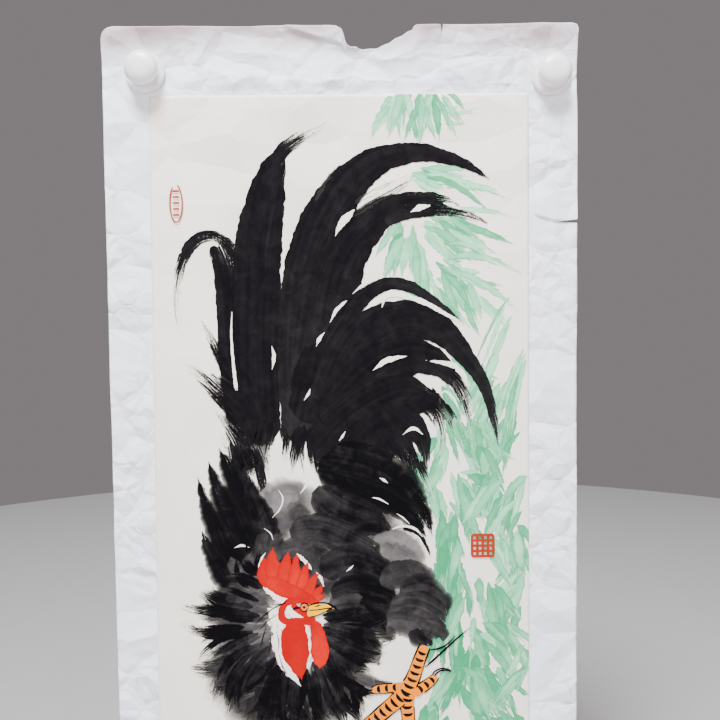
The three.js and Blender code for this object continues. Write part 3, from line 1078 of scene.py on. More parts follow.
DROOPING_FEATHERS = (
    ([(140, 300, 40), (150, 262, 48), (160, 226, 40), (172, 206, 22)], (0.06, 0.06, 0.06, 0.15)),
    ([(160, 232, 20), (173, 211, 20), (187, 190, 17), (203, 177, 13), (219, 172, 12), (236, 175, 11),
      (252, 184, 8), (268, 195, 5), (281, 205, 1)], (0.1, 0.12, 0.15, 0.1, 0.1, 0.15, 0.3)),
    ([(160, 296, 50), (174, 258, 50), (192, 228, 48), (214, 211, 44), (240, 206, 36), (262, 214, 28),
      (278, 229, 21), (290, 244, 16), (300, 259, 13), (308, 277, 10), (312, 295, 8), (315, 309, 5),
      (317, 324, 1.2)], (0.06, 0.06, 0.06, 0.06, 0.08, 0.2, 0.5)),
    ([(154, 312, 52), (176, 280, 54), (204, 252, 48), (232, 240, 38), (254, 243, 28), (270, 254, 18),
      (281, 270, 10), (288, 290, 6), (292, 312, 1.5)], (0.06, 0.05, 0.05, 0.08, 0.15, 0.4, 0.6)),
    ([(150, 334, 44), (178, 304, 56), (206, 284, 50), (230, 275, 38), (248, 280, 24), (259, 294, 14),
      (264, 312, 8), (263, 332, 1.6)], (0.08, 0.05, 0.05, 0.08, 0.2, 0.45, 0.65)),
    ([(160, 350, 36), (188, 330, 48), (212, 310, 44), (233, 303, 30), (245, 314, 17), (249, 332, 9),
      (247, 350, 2)], (0.1, 0.05, 0.06, 0.2, 0.5)),
    ([(236, 286, 18), (256, 282, 14), (268, 292, 9), (275, 308, 3)], (0.12, 0.3, 0.55)),
    ([(212, 284, 22), (232, 300, 18), (246, 320, 12), (250, 340, 6), (249, 356, 1)],
     (0.1, 0.15, 0.4, 0.65)),
    ([(224, 314, 20), (236, 336, 14), (240, 356, 6), (240, 372, 1)], (0.15, 0.4, 0.7)),
    ([(268, 252, 8), (280, 262, 7), (289, 276, 5), (294, 292, 1)], (0.3, 0.45, 0.65)),
)

# Slits of bare paper left between the feathers.
PAPER_SLITS = (
    [(72, 196, 0.6), (71, 215, 1.8), (72, 238, 2.4), (74, 262, 3.2), (76, 272, 0.6)],
    [(108, 228, 0.5), (110, 238, 3.6), (108, 250, 0.5)],
    [(168, 128, 0.6), (172, 119, 5.0), (178, 112, 7.5), (186, 104, 1.6)],
    [(149, 229, 0.5), (152, 222, 3.4), (157, 216, 0.6)],
    [(162, 207, 0.5), (168, 196, 3.4), (174, 190, 2.4), (178, 187, 0.6)],
    [(183, 181, 0.5), (193, 173, 2.4), (205, 168, 0.6)],
    [(210, 194, 0.6), (213, 185, 3.6), (220, 181, 6.4), (234, 184, 5.0), (250, 190, 4.4), (266, 199, 3.6),
     (283, 209, 0.6)],
    [(201, 252, 0.5), (210, 245, 4.6), (219, 241, 5.0), (233, 239, 0.8)],
    [(250, 243, 0.5), (263, 245, 3.2), (275, 248, 5.4), (284, 256, 5.0), (290, 268, 0.6)],
    [(263, 276, 0.5), (268, 272, 2.0), (275, 278, 3.0), (281, 290, 0.5)],
    [(137, 279, 0.5), (141, 273, 2.4), (143, 268, 0.5)],
    [(169, 317, 0.5), (172, 313, 2.2), (175, 308, 0.5)],
    [(237, 107, 0.8), (246, 103, 5.6), (256, 101, 1.4)],
    [(267, 99, 0.8), (275, 101, 4.0), (283, 105, 0.8)],
    [(228, 312, 0.5), (238, 306, 3.4), (247, 312, 0.8)],
    [(229, 120, 0.5), (231, 118, 1.8), (233, 117, 0.5)],
)
# Rows of dry bristle marks: where the first starts, the step to the next, their number, how far the starts
# are shaken up and down, their heading, length and width, and their dryness from end to end.
TALL_FRINGES = (
    ((84, 300), (5, 0), 6, 6, 90, 44, 8, (0.2, 0.45, 0.68)),
    ((74, 322), (6, 0), 4, 6, 80, 46, 9, (0.1, 0.3, 0.65)),
    ((68, 314), (5, 0), 5, 6, 70, 34, 8, (0.35, 0.5, 0.7)),
)
SICKLE_FRINGES = (
    ((116, 306), (5, 0), 4, 8, 92, 34, 7, (0.2, 0.5, 0.72)),
    ((132, 306), (5, 0), 5, 6, 90, 58, 9, (0.1, 0.3, 0.6)),
)
DROOPING_FRINGES = (
    ((214, 318), (5, 3), 7, 0, 72, 36, 5, (0.2, 0.5, 0.75)),
    ((256, 268), (4, 5), 5, 0, 66, 30, 4, (0.25, 0.5, 0.75)),
)


def fringe(brush, random, start, step, count, shake, heading, length, width, dry):
    """One row of dry bristle marks."""
    starts = []
    for k in range(count):
        shaken = random.uniform(-shake, shake) if shake else 0
        starts.append((start[0] + step[0] * k, start[1] + step[1] * k + shaken))
    for x, z in starts:
        turn = math.radians(heading + random.uniform(-16, 16))
        size = length * random.uniform(0.6, 1.3)
        ahead = math.cos(turn) * size, math.sin(turn) * size
        swells = ((0, width * 0.2), (0.2, width), (0.6, width), (1, 0.6))
        path = [(x + ahead[0] * along, z + ahead[1] * along, thick) for along, thick in swells]
        brush.stroke(path, dry=dry, tone=0.05, ragged=0.3, cell=(1.4, 0.6))


def paint_tail():
    random = np.random.RandomState(9)
    material = ink_material("tail_ink")
    for name, feathers, tone, fringes in (
        ("tail_tall_feathers", TALL_FEATHERS, 0.04, TALL_FRINGES),
        ("tail_sickle_feathers", SICKLE_FEATHERS, (0.1, 0.04, 0.04), SICKLE_FRINGES),
        ("tail_drooping_feathers", DROOPING_FEATHERS, (0.06, 0.04, 0.1), DROOPING_FRINGES),
    ):
        brush = Brush(name, material)
        for points, dry in feathers:
            brush.stroke(points, dry=dry, tone=tone)
        for row in fringes:
            fringe(brush, random, *row)
        brush.lift()
    leave_bare("tail_paper_slits", PAPER_SLITS, dry=(0.5, 0.3, 0.5), ragged=0.7, cell=(1.0, 0.6))


# ---------------------------------------------------------------- body

BODY_WASHES = (
    # points, tone, fade at the sides
    ([(92, 420, 44), (110, 392, 50), (128, 374, 46), (150, 366, 36)], 0.34, 0.7),
    ([(150, 344, 40), (178, 352, 60), (210, 366, 60), (238, 388, 34)], 0.14, 0.6),
    ([(128, 398, 50), (160, 394, 58), (198, 398, 56), (232, 412, 40)], 0.26, 0.7),
    ([(60, 430, 40), (104, 440, 58), (150, 442, 62), (198, 440, 58), (232, 440, 40)], 0.24, 0.6),
    ([(50, 474, 32), (78, 466, 50), (108, 462, 46)], 0.26, 0.7),
    ([(158, 468, 52), (196, 472, 62), (240, 474, 52)], 0.2, 0.6),
    ([(40, 524, 36), (62, 540, 56), (96, 566, 72), (136, 584, 76), (170, 572, 52)], 0.2, 0.6),
    ([(166, 512, 54), (188, 510, 46), (204, 508, 30)], 0.2, 0.7),
    ([(56, 590, 40), (100, 616, 40), (144, 620, 36), (170, 604, 24)], 0.22, 0.8),
    ([(94, 404, 30), (104, 388, 40), (118, 370, 42), (134, 356, 26)], 0.44, 0.5),
    ([(204, 414, 26), (222, 420, 38), (240, 432, 26), (247, 440, 12)], 0.42, 0.6),
    ([(200, 410, 10), (220, 408, 14), (238, 416, 12), (248, 430, 8)], 0.66, 0.6),
    ([(206, 424, 8), (222, 426, 12), (236, 434, 10), (244, 442, 6)], 0.6, 0.6),
    ([(102, 384, 20), (110, 374, 24), (122, 368, 22), (130, 372, 12)], 0.7, 0.7),
    ([(122, 392, 14), (130, 384, 18), (142, 384, 14)], 0.3, 0.8),
    ([(176, 404, 18), (192, 400, 22), (206, 402, 14)], 0.45, 0.8),
)

BODY_FEATHERS = (
    # points, dryness, tone: the raised wing at the left
    ([(104, 438, 28), (92, 404, 36), (78, 368, 30), (66, 342, 17), (57, 322, 1.5)], 0.06, 0.02),
    ([(94, 450, 32), (76, 412, 38), (61, 376, 24), (52, 350, 10), (47, 334, 1)], 0.05, 0.02),
    ([(86, 458, 30), (64, 424, 30), (49, 390, 18), (41, 366, 8), (37, 349, 1)], 0.05, 0.0),
    ([(80, 466, 26), (59, 442, 24), (46, 418, 13), (40, 400, 2)], 0.06, 0.06),
    ([(106, 420, 22), (98, 392, 24), (88, 366, 15), (82, 344, 3)], 0.1, 0.1),
    # the back, sweeping down to the right from the tail
    ([(150, 340, 40), (182, 350, 46), (212, 366, 38), (236, 388, 22), (249, 408, 3)], 0.06, 0.0),
    ([(160, 330, 30), (200, 340, 36), (230, 358, 28), (248, 384, 12), (255, 408, 1.5)], 0.1, 0.04),
    ([(146, 362, 26), (166, 380, 34), (194, 392, 30), (216, 400, 12)], 0.1, 0.12),
    ([(122, 404, 24), (146, 400, 30), (170, 408, 30), (196, 422, 22), (208, 432, 6)], 0.12, 0.16),
    ([(112, 420, 16), (130, 418, 22), (152, 428, 22), (168, 440, 8)], 0.15, 0.22),
    ([(150, 440, 26), (176, 430, 30), (202, 438, 28), (224, 452, 14)], 0.12, 0.12),
    ([(160, 462, 22), (186, 456, 28), (208, 462, 24), (222, 470, 8)], 0.1, 0.04),
    ([(228, 398, 6), (242, 406, 5), (250, 418, 3), (253, 428, 1)], 0.25, 0.0),
    # the thigh, as rounded dabs
    ([(206, 452, 18), (224, 444, 28), (244, 446, 26), (256, 458, 10)], 0.08, 0.2),
    ([(224, 466, 24), (244, 460, 34), (262, 470, 24), (268, 484, 8)], 0.06, 0.16),
    ([(214, 482, 24), (234, 476, 32), (254, 484, 30), (266, 496, 12)], 0.06, 0.22),
    ([(208, 496, 16), (222, 490, 24), (238, 494, 24), (248, 504, 10)], 0.08, 0.28),
    ([(232, 500, 12), (240, 504, 18), (250, 508, 14), (254, 512, 6)], 0.1, 0.12),
    ([(244, 492, 14), (256, 496, 22), (264, 502, 14), (264, 508, 5)], 0.1, 0.2),
    ([(206, 494, 12), (212, 500, 16), (220, 504, 10)], 0.15, 0.25),
    # between the neck and the thigh
    ([(158, 482, 16), (180, 480, 30), (200, 488, 26), (210, 500, 8)], 0.1, 0.06),
    ([(160, 500, 18), (180, 506, 30), (196, 518, 24), (204, 530, 6)], 0.12, 0.04),
)

# Slivers of bare paper left between the body's feathers.
BODY_GAPS = (
    [(106, 388, 0.4), (113, 380, 1.2), (116, 370, 1.2), (112, 362, 0.4)],
    [(132, 366, 0.4), (138, 358, 2.4), (140, 350, 0.6)],
    [(214, 402, 0.5), (226, 398, 2.0), (238, 400, 2.4), (246, 408, 0.6)],
    [(222, 386, 0.4), (228, 390, 1.4), (234, 396, 0.4)],
    [(236, 404, 0.4), (243, 410, 1.4), (248, 420, 0.4)],
    [(174, 440, 0.4), (178, 437, 1.8), (181, 434, 0.4)],
    [(206, 352, 0.4), (210, 354, 2.4), (214, 357, 0.4)],
    [(70, 416, 0.4), (77, 414, 2.4), (84, 416, 0.4)],
    [(98, 398, 0.3), (104, 403, 1.0), (106, 409, 0.3)],
    [(196, 370, 0.4), (206, 372, 1.6), (216, 378, 0.4)],
)

BODY_CELL = (1.75, 0.92)  # a little coarser than other strokes, because there are so many
NECK_CENTRE = (132, 484)
# The neck's feathers in three coats, each with how it is laid and its fans: the first and last headings,
# the near and far ends, the number, width, dryness from end to end, and tone.
NECK_COATS = (
    ({"soft": 0.5, "rim": 0.1}, (
        ((148, 204), 30, 102, 14, 17, (0.3, 0.15, 0.6), 0.2),
        ((100, 150), 40, 118, 15, 18, (0.3, 0.15, 0.6), 0.16),
        ((48, 100), 48, 110, 15, 18, (0.3, 0.15, 0.6), 0.12),
        ((-24, 14), 26, 66, 7, 13, (0.2, 0.1, 0.4), 0.06),
        ((10, 50), 24, 84, 12, 15, (0.25, 0.15, 0.6), 0.1),
        ((206, 250), 46, 88, 8, 16, (0.3, 0.2, 0.5), 0.18),
    )),
    ({"soft": 0.5}, (
        ((150, 200), 30, 78, 7, 3, (0.45, 0.6), 0.45),
        ((90, 150), 44, 100, 9, 3, (0.45, 0.6), 0.45),
        ((30, 90), 50, 100, 6, 3, (0.45, 0.6), 0.4),
    )),
    ({}, (
        ((118, 196), 46, 114, 19, 9, (0.25, 0.12, 0.7), 0.0),
        ((50, 118), 50, 124, 22, 9, (0.25, 0.12, 0.7), -0.02),
        ((-10, 44), 22, 60, 12, 7, (0.25, 0.12, 0.5), -0.02),
        ((6, 58), 30, 88, 18, 9, (0.25, 0.12, 0.7), -0.02),
        ((196, 232), 50, 84, 6, 9, (0.3, 0.2, 0.6), 0.02),
    )),
)


def fan(brush, random, turns, near, far, count, width, dry, tone, **look):
    """Feathers thrown outwards from the neck's centre between two headings."""
    for k in range(count):
        share = (k + random.uniform(0.1, 0.9)) / count
        heading = turns[0] + (turns[1] - turns[0]) * share
        bend = random.uniform(-16, 16)
        start = near * random.uniform(0.85, 1.25)
        size = far * random.uniform(0.84, 1.02) - start
        thick = width * random.uniform(0.65, 1.3)
        path = []
        for along, swell in ((0, 0.35), (0.25, 0.85), (0.55, 1.0), (0.82, 0.8), (1, 0.3)):
            turn = math.radians(heading + bend * along * along)
            radius = start + size * along
            x = NECK_CENTRE[0] + math.cos(turn) * radius
            z = NECK_CENTRE[1] + math.sin(turn) * radius
            path.append((x, z, thick * swell))
        shade = tone + random.uniform(-0.08, 0.1)
        brush.stroke(path, dry=dry, tone=(shade + 0.12, shade, shade), ragged=0.6, cell=BODY_CELL, **look)


def paint_body():
    random = np.random.RandomState(21)
    paint = settings().paint
    washed = paint_material(
        "body_wash", paint.ink, paint.wash, glaze=0.3, matt=0.75, bristle=260, mottle=0.6
    )
    wash = Brush("body_wash", washed, glaze=0.3)
    for points, tone, soft in BODY_WASHES:
        wash.stroke(
            points, dry=0.02, tone=tone - 0.1, fade=(0.4, 0.0, 0.0, 0.4), soft=soft, rim=0.1, ragged=2.0,
            cell=(2.0, 1.6), gaps=False,
        )
    wash.lift()
    feathers = Brush("body_feathers", ink_material("body_ink", 0.3, 0.4), glaze=0.3)
    for points, dry, tone in BODY_FEATHERS:
        shade = tone - 0.06
        feathers.stroke(
            points, dry=(dry, dry, dry + 0.3), tone=(shade + 0.06, shade, shade), rim=0.08, ragged=1.0,
            soft=0.35, cell=BODY_CELL,
        )
    for look, fans in NECK_COATS:
        for row in fans:
            fan(feathers, random, *row, **look)
    feathers.lift()
    leave_bare("body_paper_gaps", BODY_GAPS, dry=(0.5, 0.3, 0.5), ragged=0.5, cell=(1.0, 0.6))


# ---------------------------------------------------------------- head

# The comb's points and then its base.
COMB_LOBES = (
    [(106, 452, 16), (99, 443, 17), (98, 431, 9), (97, 425, 1)],
    [(110, 450, 18), (106, 436, 17), (105, 426, 9), (106, 416, 1)],
    [(117, 452, 18), (117, 438, 14), (119, 427, 7), (120, 420, 1)],
    [(125, 456, 16), (126, 442, 12), (127, 430, 6), (128, 422, 1)],
    [(131, 460, 14), (134, 447, 11), (136, 437, 6), (139, 430, 1)],
    [(138, 462, 13), (141, 452, 9), (145, 445, 5), (149, 441, 1)],
    [(143, 465, 10), (148, 458, 7), (152, 452, 1)],
    [(142, 466, 10), (149, 464, 6), (155, 462, 1)],
    [(100, 447, 12), (112, 454, 16), (126, 460, 14), (140, 466, 9), (148, 468, 3)],
)
FACE_STROKES = (
    [(115, 470, 5), (122, 467.5, 7), (131, 466.5, 6), (140, 467, 5)],
    [(118, 468, 5), (113, 476, 6), (114, 484, 7), (121, 488, 7)],
    [(116, 487, 6), (128, 486.5, 7), (138, 487, 7), (145, 489, 3)],
    [(130, 478.5, 4), (137, 481, 7), (141, 485, 7), (140, 491, 3)],
    [(123, 470, 6), (128, 475, 6), (134, 479, 6), (139, 480, 4)],
)
# The near wattle and the paler far one, each with its tone.
WATTLES = (
    ([(127, 484, 10), (126, 492, 20), (124.5, 503, 26), (126, 518, 25), (128.5, 531, 15),
     (131, 543, 1.5)], 0.15),
    ([(143, 486, 8), (145.5, 494, 12), (147.5, 504, 15), (148.5, 516, 17), (148.5, 526, 12),
     (148, 532, 3)], 0.6),
)


# Bare paper kept round the comb, the face and the wattles.
HALO_STROKES = (
    [(97, 452, 6), (106, 460, 8), (118, 467, 10), (128, 470, 6)],
    [(93, 442, 0.5), (93, 434, 2), (95, 427, 2), (99, 421, 0.5)],
    [(128, 422, 1), (134, 428, 4), (139, 434, 3), (142, 438, 1)],
    [(146, 440, 1), (150, 446, 3), (153, 454, 1)],
    [(100, 474, 4), (107, 480, 13), (111, 494, 14), (110, 512, 11), (115, 528, 10), (124, 541, 6),
     (130, 549, 1)],
    [(135, 486, 3), (137.5, 500, 4), (139, 514, 4), (139, 524, 1)],
    [(118, 472, 8), (126, 478, 10), (136, 482, 6)],
)
BEAK_STROKES = (
    [(138, 474, 6), (147, 472.6, 6), (156, 472.4, 4), (163, 475, 1)],
    [(137, 480, 5), (145, 478.6, 5), (151, 477, 3.4), (157, 475, 1)],
)
EYE_PLACE = (134.2, 473.2)
EYE_RADIUS = 3.3
PUPIL_RADIUS = 1.4
HEAD_LINES = (
    # the eye's rim and corner
    [(130.6, 473.6, 0.6), (131.6, 470.4, 1.1), (134.4, 469.3, 1.3), (137.6, 470.8, 1.1),
     (138.2, 473.8, 0.9)],
    [(138.2, 473.8, 0.9), (136.2, 476.7, 1.0), (132.8, 476.9, 1.0), (130.6, 474.4, 0.6)],
    [(122.5, 476, 0.4), (127, 473.6, 2.4), (130.6, 474.0, 1.2)],
    # the beak
    [(138.4, 471.8, 1.0), (146, 469.6, 1.6), (155, 469.6, 1.5), (162, 473.4, 2.4), (166, 476.6, 0.5)],
    [(139, 476.2, 0.8), (147, 475.8, 1.1), (154, 474.8, 1.2), (161, 474.2, 1.6)],
    [(140, 482.2, 0.8), (146, 481.4, 1.1), (152, 478.8, 1.0), (158, 475.6, 0.5)],
    [(143.6, 473.2, 0.4), (147, 472.0, 1.5), (150, 471.8, 0.4)],
    # fine hairs behind the face
    [(88, 489, 0.5), (97, 480, 0.9), (107, 473, 1.1), (117, 469, 0.5)],
    [(92, 494, 0.4), (101, 485, 0.8), (110, 479, 0.4)],
    [(104, 470, 0.4), (113, 470, 1.0), (119, 466, 0.4)],
    [(108, 496, 0.4), (110, 506, 0.9), (109, 516, 0.4)],
    [(102, 498, 0.4), (102, 508, 0.8), (100, 518, 0.4)],
    [(110, 518, 0.4), (113, 529, 0.9), (118, 539, 0.4)],
    [(98, 492, 0.4), (95, 502, 0.8), (93, 510, 0.4)],
    [(106, 512, 0.4), (107, 522, 0.8), (111, 532, 0.4)],
)


def disc(brush, place, radius):
    """A round dab."""
    x, z = place
    rim = [(-1, 0.05), (-0.82, 1.14), (-0.4, 1.83), (0, 2.0), (0.4, 1.83), (0.82, 1.14), (1, 0.05)]
    path = [(x + along * radius, z, width * radius) for along, width in rim]
    brush.stroke(path, dry=0.0, tone=0.1, ragged=0.05, cell=(0.3, 0.3), gaps=False)


def paint_head():
    paint = settings().paint
    ground = {"dry": (0.4, 0.3, 0.4), "ragged": 1.2, "cell": (1.2, 0.8), "edge": 0.9}
    leave_bare("head_paper_ground", HALO_STROKES, **ground)
    red = paint_material(
        "comb_red", paint.comb, paint.comb_thin, glaze=0, matt=0.7, bristle=300, mottle=0.9
    )
    comb = Brush("comb_and_wattles", red, tint=(0.8, 0.06, 0.05), glaze=0)
    flesh = {"dry": 0.02, "ragged": 0.4, "cell": (0.9, 0.7), "gaps": False}
    comb.strokes(COMB_LOBES, tone=(0.5, 0.35, 0.15), rim=0.5, **flesh)
    comb.strokes(FACE_STROKES, dry=0.05, tone=0.12, ragged=0.3, cell=(0.8, 0.6), gaps=False)
    for points, tone in WATTLES:
        comb.stroke(points, tone=(0.1, tone, tone + 0.1), rim=0.3, **flesh)
    comb.lift()
    yellow = paint_material(
        "beak_yellow", paint.beak, (0.90, 0.56, 0.03), glaze=0, matt=0.7, bristle=500, mottle=0.4
    )
    beak = Brush("beak", yellow, tint=(0.85, 0.6, 0.06), glaze=0)
    beak.strokes(BEAK_STROKES, dry=0.02, tone=0.2, ragged=0.1, cell=(0.6, 0.5), gaps=False)
    beak.lift()
    orange = paint_material(
        "eye_orange", (0.72, 0.14, 0.03), (0.85, 0.3, 0.1), glaze=0, matt=0.6, mottle=0.3
    )
    eye = Brush("eye", orange, tint=(0.8, 0.3, 0.1), glaze=0)
    disc(eye, EYE_PLACE, EYE_RADIUS)
    eye.lift()
    lines = Brush("head_ink_lines", ink_material("line_ink"))
    disc(lines, EYE_PLACE, PUPIL_RADIUS)
    lines.strokes(HEAD_LINES, dry=0.0, tone=0.0, ragged=0.12, cell=(0.7, 0.4), gaps=False)
    lines.lift()


# ---------------------------------------------------------------- legs

SHANKS = (
    # a short toe behind, the back toe, then the shank and the two front toes over them
    [(227, 551, 9), (215, 552, 9), (204, 553, 9), (197, 554, 6)],
    [(236, 558, 11), (245, 552, 10), (253, 546, 9), (258, 541, 6)],
    [(247.5, 512, 10), (244, 520, 11), (240, 531, 12), (236, 542, 13), (230, 554, 15), (226, 562, 10)],
    [(234, 552, 12), (222, 563, 15), (210, 573, 14), (198, 583, 13), (186, 592, 12), (174, 600, 9),
     (168, 604, 5)],
    [(232, 556, 13), (230, 568, 13), (231, 581, 12), (230, 595, 11), (227, 609, 9), (224, 618, 5)],
)
# The claws' points, which are outlined and left unfilled.
CLAWS = (
    [(169, 603, 4.0), (162, 608, 3.0), (154, 609, 0.5)],
    [(225, 617, 3.8), (220, 625, 3.0), (212, 629, 0.5)],
    [(198, 555, 3.6), (191, 556, 2.6), (185, 561, 0.5)],
    [(255, 540, 3.4), (260, 536, 2.6), (266, 535, 1.8), (272, 537, 0.4)],
)
BAND_SPACING = 7.2
BAND_BOW = 1.6
# Where each shank's or toe's outline starts and ends, in places along it, so as not to cross the others.
OUTLINE_ENDS = ((2, None), (2, None), (0, -3), (3, None), (3, None))
# Thin lines flicked out behind the shank.
SPURS = (
    [(247, 533, 0.8), (255, 526, 2.2), (266, 516, 1.9), (278, 505, 1.6), (290, 495, 0.5)],
    [(251, 516, 0.8), (260, 515, 2.0), (268, 511, 1.5), (277, 502, 0.5)],
)


def side_line(points, side, spread=0.5):
    """The outline along one side of a stroke, of uneven width."""
    _, x, z, width = smooth_path(points, 5)
    ahead_x, ahead_z = headings(x, z)
    off = side * width * spread
    return list(zip(x - ahead_z * off, z + ahead_x * off, 1.25 + 0.45 * np.sin(np.arange(len(x)))))


def bands(brush, points):
    """Short curved bands across a toe or shank."""
    along, x, z, width = smooth_path(points, BAND_SPACING)
    for k in range(1, len(along) - 1):
        ahead = np.array([x[k + 1] - x[k - 1], z[k + 1] - z[k - 1]])
        ahead = ahead / np.hypot(*ahead)
        side = np.array([-ahead[1], ahead[0]])
        half = width[k] * 0.4
        spots = []
        for share, thick in ((-1, 0.7), (-0.4, 2.9), (0.3, 3.2), (1, 1.0)):
            place = np.array([x[k], z[k]]) + side * half * share + ahead * BAND_BOW * (1 - share * share)
            spots.append((*place, thick))
        brush.stroke(spots, dry=0.12, tone=0.05, ragged=0.25, cell=(0.8, 0.5), gaps=False)


def paint_legs():
    paint = settings().paint
    yellow = paint_material(
        "leg_yellow", paint.leg, (0.87, 0.33, 0.008), glaze=0, matt=0.75, bristle=300, mottle=0.7
    )
    legs = Brush("legs", yellow, tint=(0.9, 0.45, 0.08), glaze=0)
    legs.strokes(SHANKS, dry=0.03, tone=0.25, ragged=0.3, cell=(1.0, 0.9), gaps=False)
    legs.lift()
    lines = Brush("leg_ink_lines", ink_material("leg_line_ink"))
    for points in SHANKS:
        bands(lines, points)
    outlines = [
        side_line(points, side)[first:last]
        for points, (first, last) in zip(SHANKS, OUTLINE_ENDS) for side in (-1, 1)
    ]
    lines.strokes(outlines, dry=0.1, tone=0.0, ragged=0.2, cell=(0.9, 0.45), gaps=False)
    claws = [side_line(points, side, 0.42) for points in CLAWS for side in (-1, 1)]
    lines.strokes(claws, dry=0.05, tone=0.0, ragged=0.1, cell=(0.8, 0.4), gaps=False)
    lines.strokes(SPURS, dry=0.05, tone=0.0, ragged=0.1, cell=(1.0, 0.5), gaps=False)
    lines.lift()


# ---------------------------------------------------------------- seals

OVAL_CENTRE = (23, 97)
OVAL_HALF = (5.6, 17)  # half its width and height
SQUARE_CORNER = (292, 407)
SQUARE_SIDE = 20


def stamp(brush, path, thick):
    brush.stroke([(x, z, thick) for x, z in path], dry=0.22, tone=0.2, ragged=0.2, cell=(0.7, 0.5))


def stamp_seals():
    """Two plain stamped marks: a tall oval ring with bars in it, and a square lattice."""
    paint = settings().paint
    red = paint_material(
        "seal_red", paint.seal, (0.42, 0.05, 0.025), glaze=0, matt=0.8, bristle=700, mottle=0.8
    )
    seals = Brush("seals", red, tint=(0.6, 0.1, 0.05), glaze=0)
    x, z = OVAL_CENTRE
    turns = np.linspace(0.2, 2 * math.pi - 0.5, 25)
    stamp(seals, [(x + OVAL_HALF[0] * math.sin(t), z - OVAL_HALF[1] * math.cos(t)) for t in turns], 1.3)
    for k in range(5):
        bar = z - 11 + 5.4 * k
        stamp(seals, [(x - 3.1, bar), (x, bar - 0.4), (x + 3.1, bar)], 1.8)
    left, top = SQUARE_CORNER
    along = (0, SQUARE_SIDE / 2, SQUARE_SIDE)
    for k in range(5):
        off = SQUARE_SIDE * k / 4
        stamp(seals, [(left + off, top + run) for run in along], 2.4)
        stamp(seals, [(left + run, top + off) for run in along], 2.4)
    seals.lift()


# ---------------------------------------------------------------- knobs

# Sizes of the knobs in millimetres, and how finely their curves are cut.
SPIGOT_RADIUS = 6.8
SPIGOT_LENGTH = 4.4
CLEARANCE = 0.1
FLANGE_HEIGHT = 2.6
STEP_WIDTH = 0.9
STEP_HEIGHT = 0.7
COVE_HEIGHT = 4.6
RIM_HEIGHT = 3.4  # from the cap's underside up to its widest line
DOME_FULLNESS = 2.3  # 2 is an ellipse, and more is fuller
COVE_STEPS = 16
DOME_STEPS = 40
ROUNDING_STEPS = 4


def turned_piece(name, profile_points, side, material):
    """A turned piece: the profile of radius and height, in millimetres, spun about the knob's axis."""
    centre = middle_of(f"{side}_knob_base")
    bm = bmesh.new()
    verts = [bm.verts.new((radius * MM, 0, height * MM)) for radius, height in profile_points]
    edges = [bm.edges.new(pair) for pair in zip(verts, verts[1:])]
    bmesh.ops.spin(
        bm, geom=[*verts, *edges], cent=(0, 0, 0), axis=(0, 0, 1), dvec=(0, 0, 0), angle=2 * math.pi,
        steps=96, use_merge=True, use_duplicate=False,
    )
    bmesh.ops.remove_doubles(bm, verts=bm.verts, dist=0.002 * MM)
    bmesh.ops.recalc_face_normals(bm, faces=bm.faces)
    place = Matrix.Translation((centre.x, -BACKING_THICKNESS, centre.z))
    turn = place @ Matrix.Rotation(math.radians(90), 4, "X")
    bmesh.ops.transform(bm, matrix=turn, verts=bm.verts)
    return new_piece(name, bm, material)


def rounded(points, radii):
    """The profile with its corners rounded by the radii given, in millimetres."""
    made = []
    for k, (corner, radius) in enumerate(zip(points, radii)):
        if not radius:
            made.append(corner)
            continue
        here = Vector(corner)
        before = Vector(points[k - 1]) - here
        after = Vector(points[k + 1]) - here
        start = here + before.normalized() * min(radius, before.length * 0.48)
        end = here + after.normalized() * min(radius, after.length * 0.48)
        for t in np.linspace(0, 1, ROUNDING_STEPS + 1):
            spot = start * (1 - t) ** 2 + here * 2 * t * (1 - t) + end * t * t
            made.append((spot.x, spot.y))
    return made


def off_paper(y):
    """How far a place stands off the paper's face, in millimetres."""
    return (-y - BACKING_THICKNESS) / MM


def knob_base_profile(side):
    """The flange, step, cove and neck outside, with the cup's recess and the cap's socket inside."""
    cup_low, cup_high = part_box(f"{side}_steel_cup")
    low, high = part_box(f"{side}_knob_base")
    foot, end = off_paper(high.y), off_paper(low.y)
    flange = (high.x - low.x) / 2 / MM
    recess = (cup_high.x - cup_low.x) / 2 / MM + CLEARANCE
    recess_end = off_paper(cup_low.y) + CLEARANCE
    neck = recess + 0.4
    socket = SPIGOT_RADIUS + CLEARANCE
    step = foot + FLANGE_HEIGHT
    cove = step + STEP_HEIGHT
    inner = flange - 2 * STEP_WIDTH
    outline = [
        (recess, foot), (flange, foot), (flange, step), (flange - STEP_WIDTH, step),
        (flange - STEP_WIDTH, cove), (inner, cove),
    ]
    profile = rounded(outline, (0, 0.4, 0.9, 0.25, 0.3, 0))
    for t in np.linspace(0, math.pi / 2, COVE_STEPS + 1)[1:]:
        profile.append((neck + (inner - neck) * (1 - math.sin(t)), cove + COVE_HEIGHT * (1 - math.cos(t))))
    profile += rounded([(neck, end - 1), (neck, end), (socket, end)], (0, 0.3, 0))[1:]
    return [*profile, (socket, recess_end), (recess, recess_end), (recess, foot)]


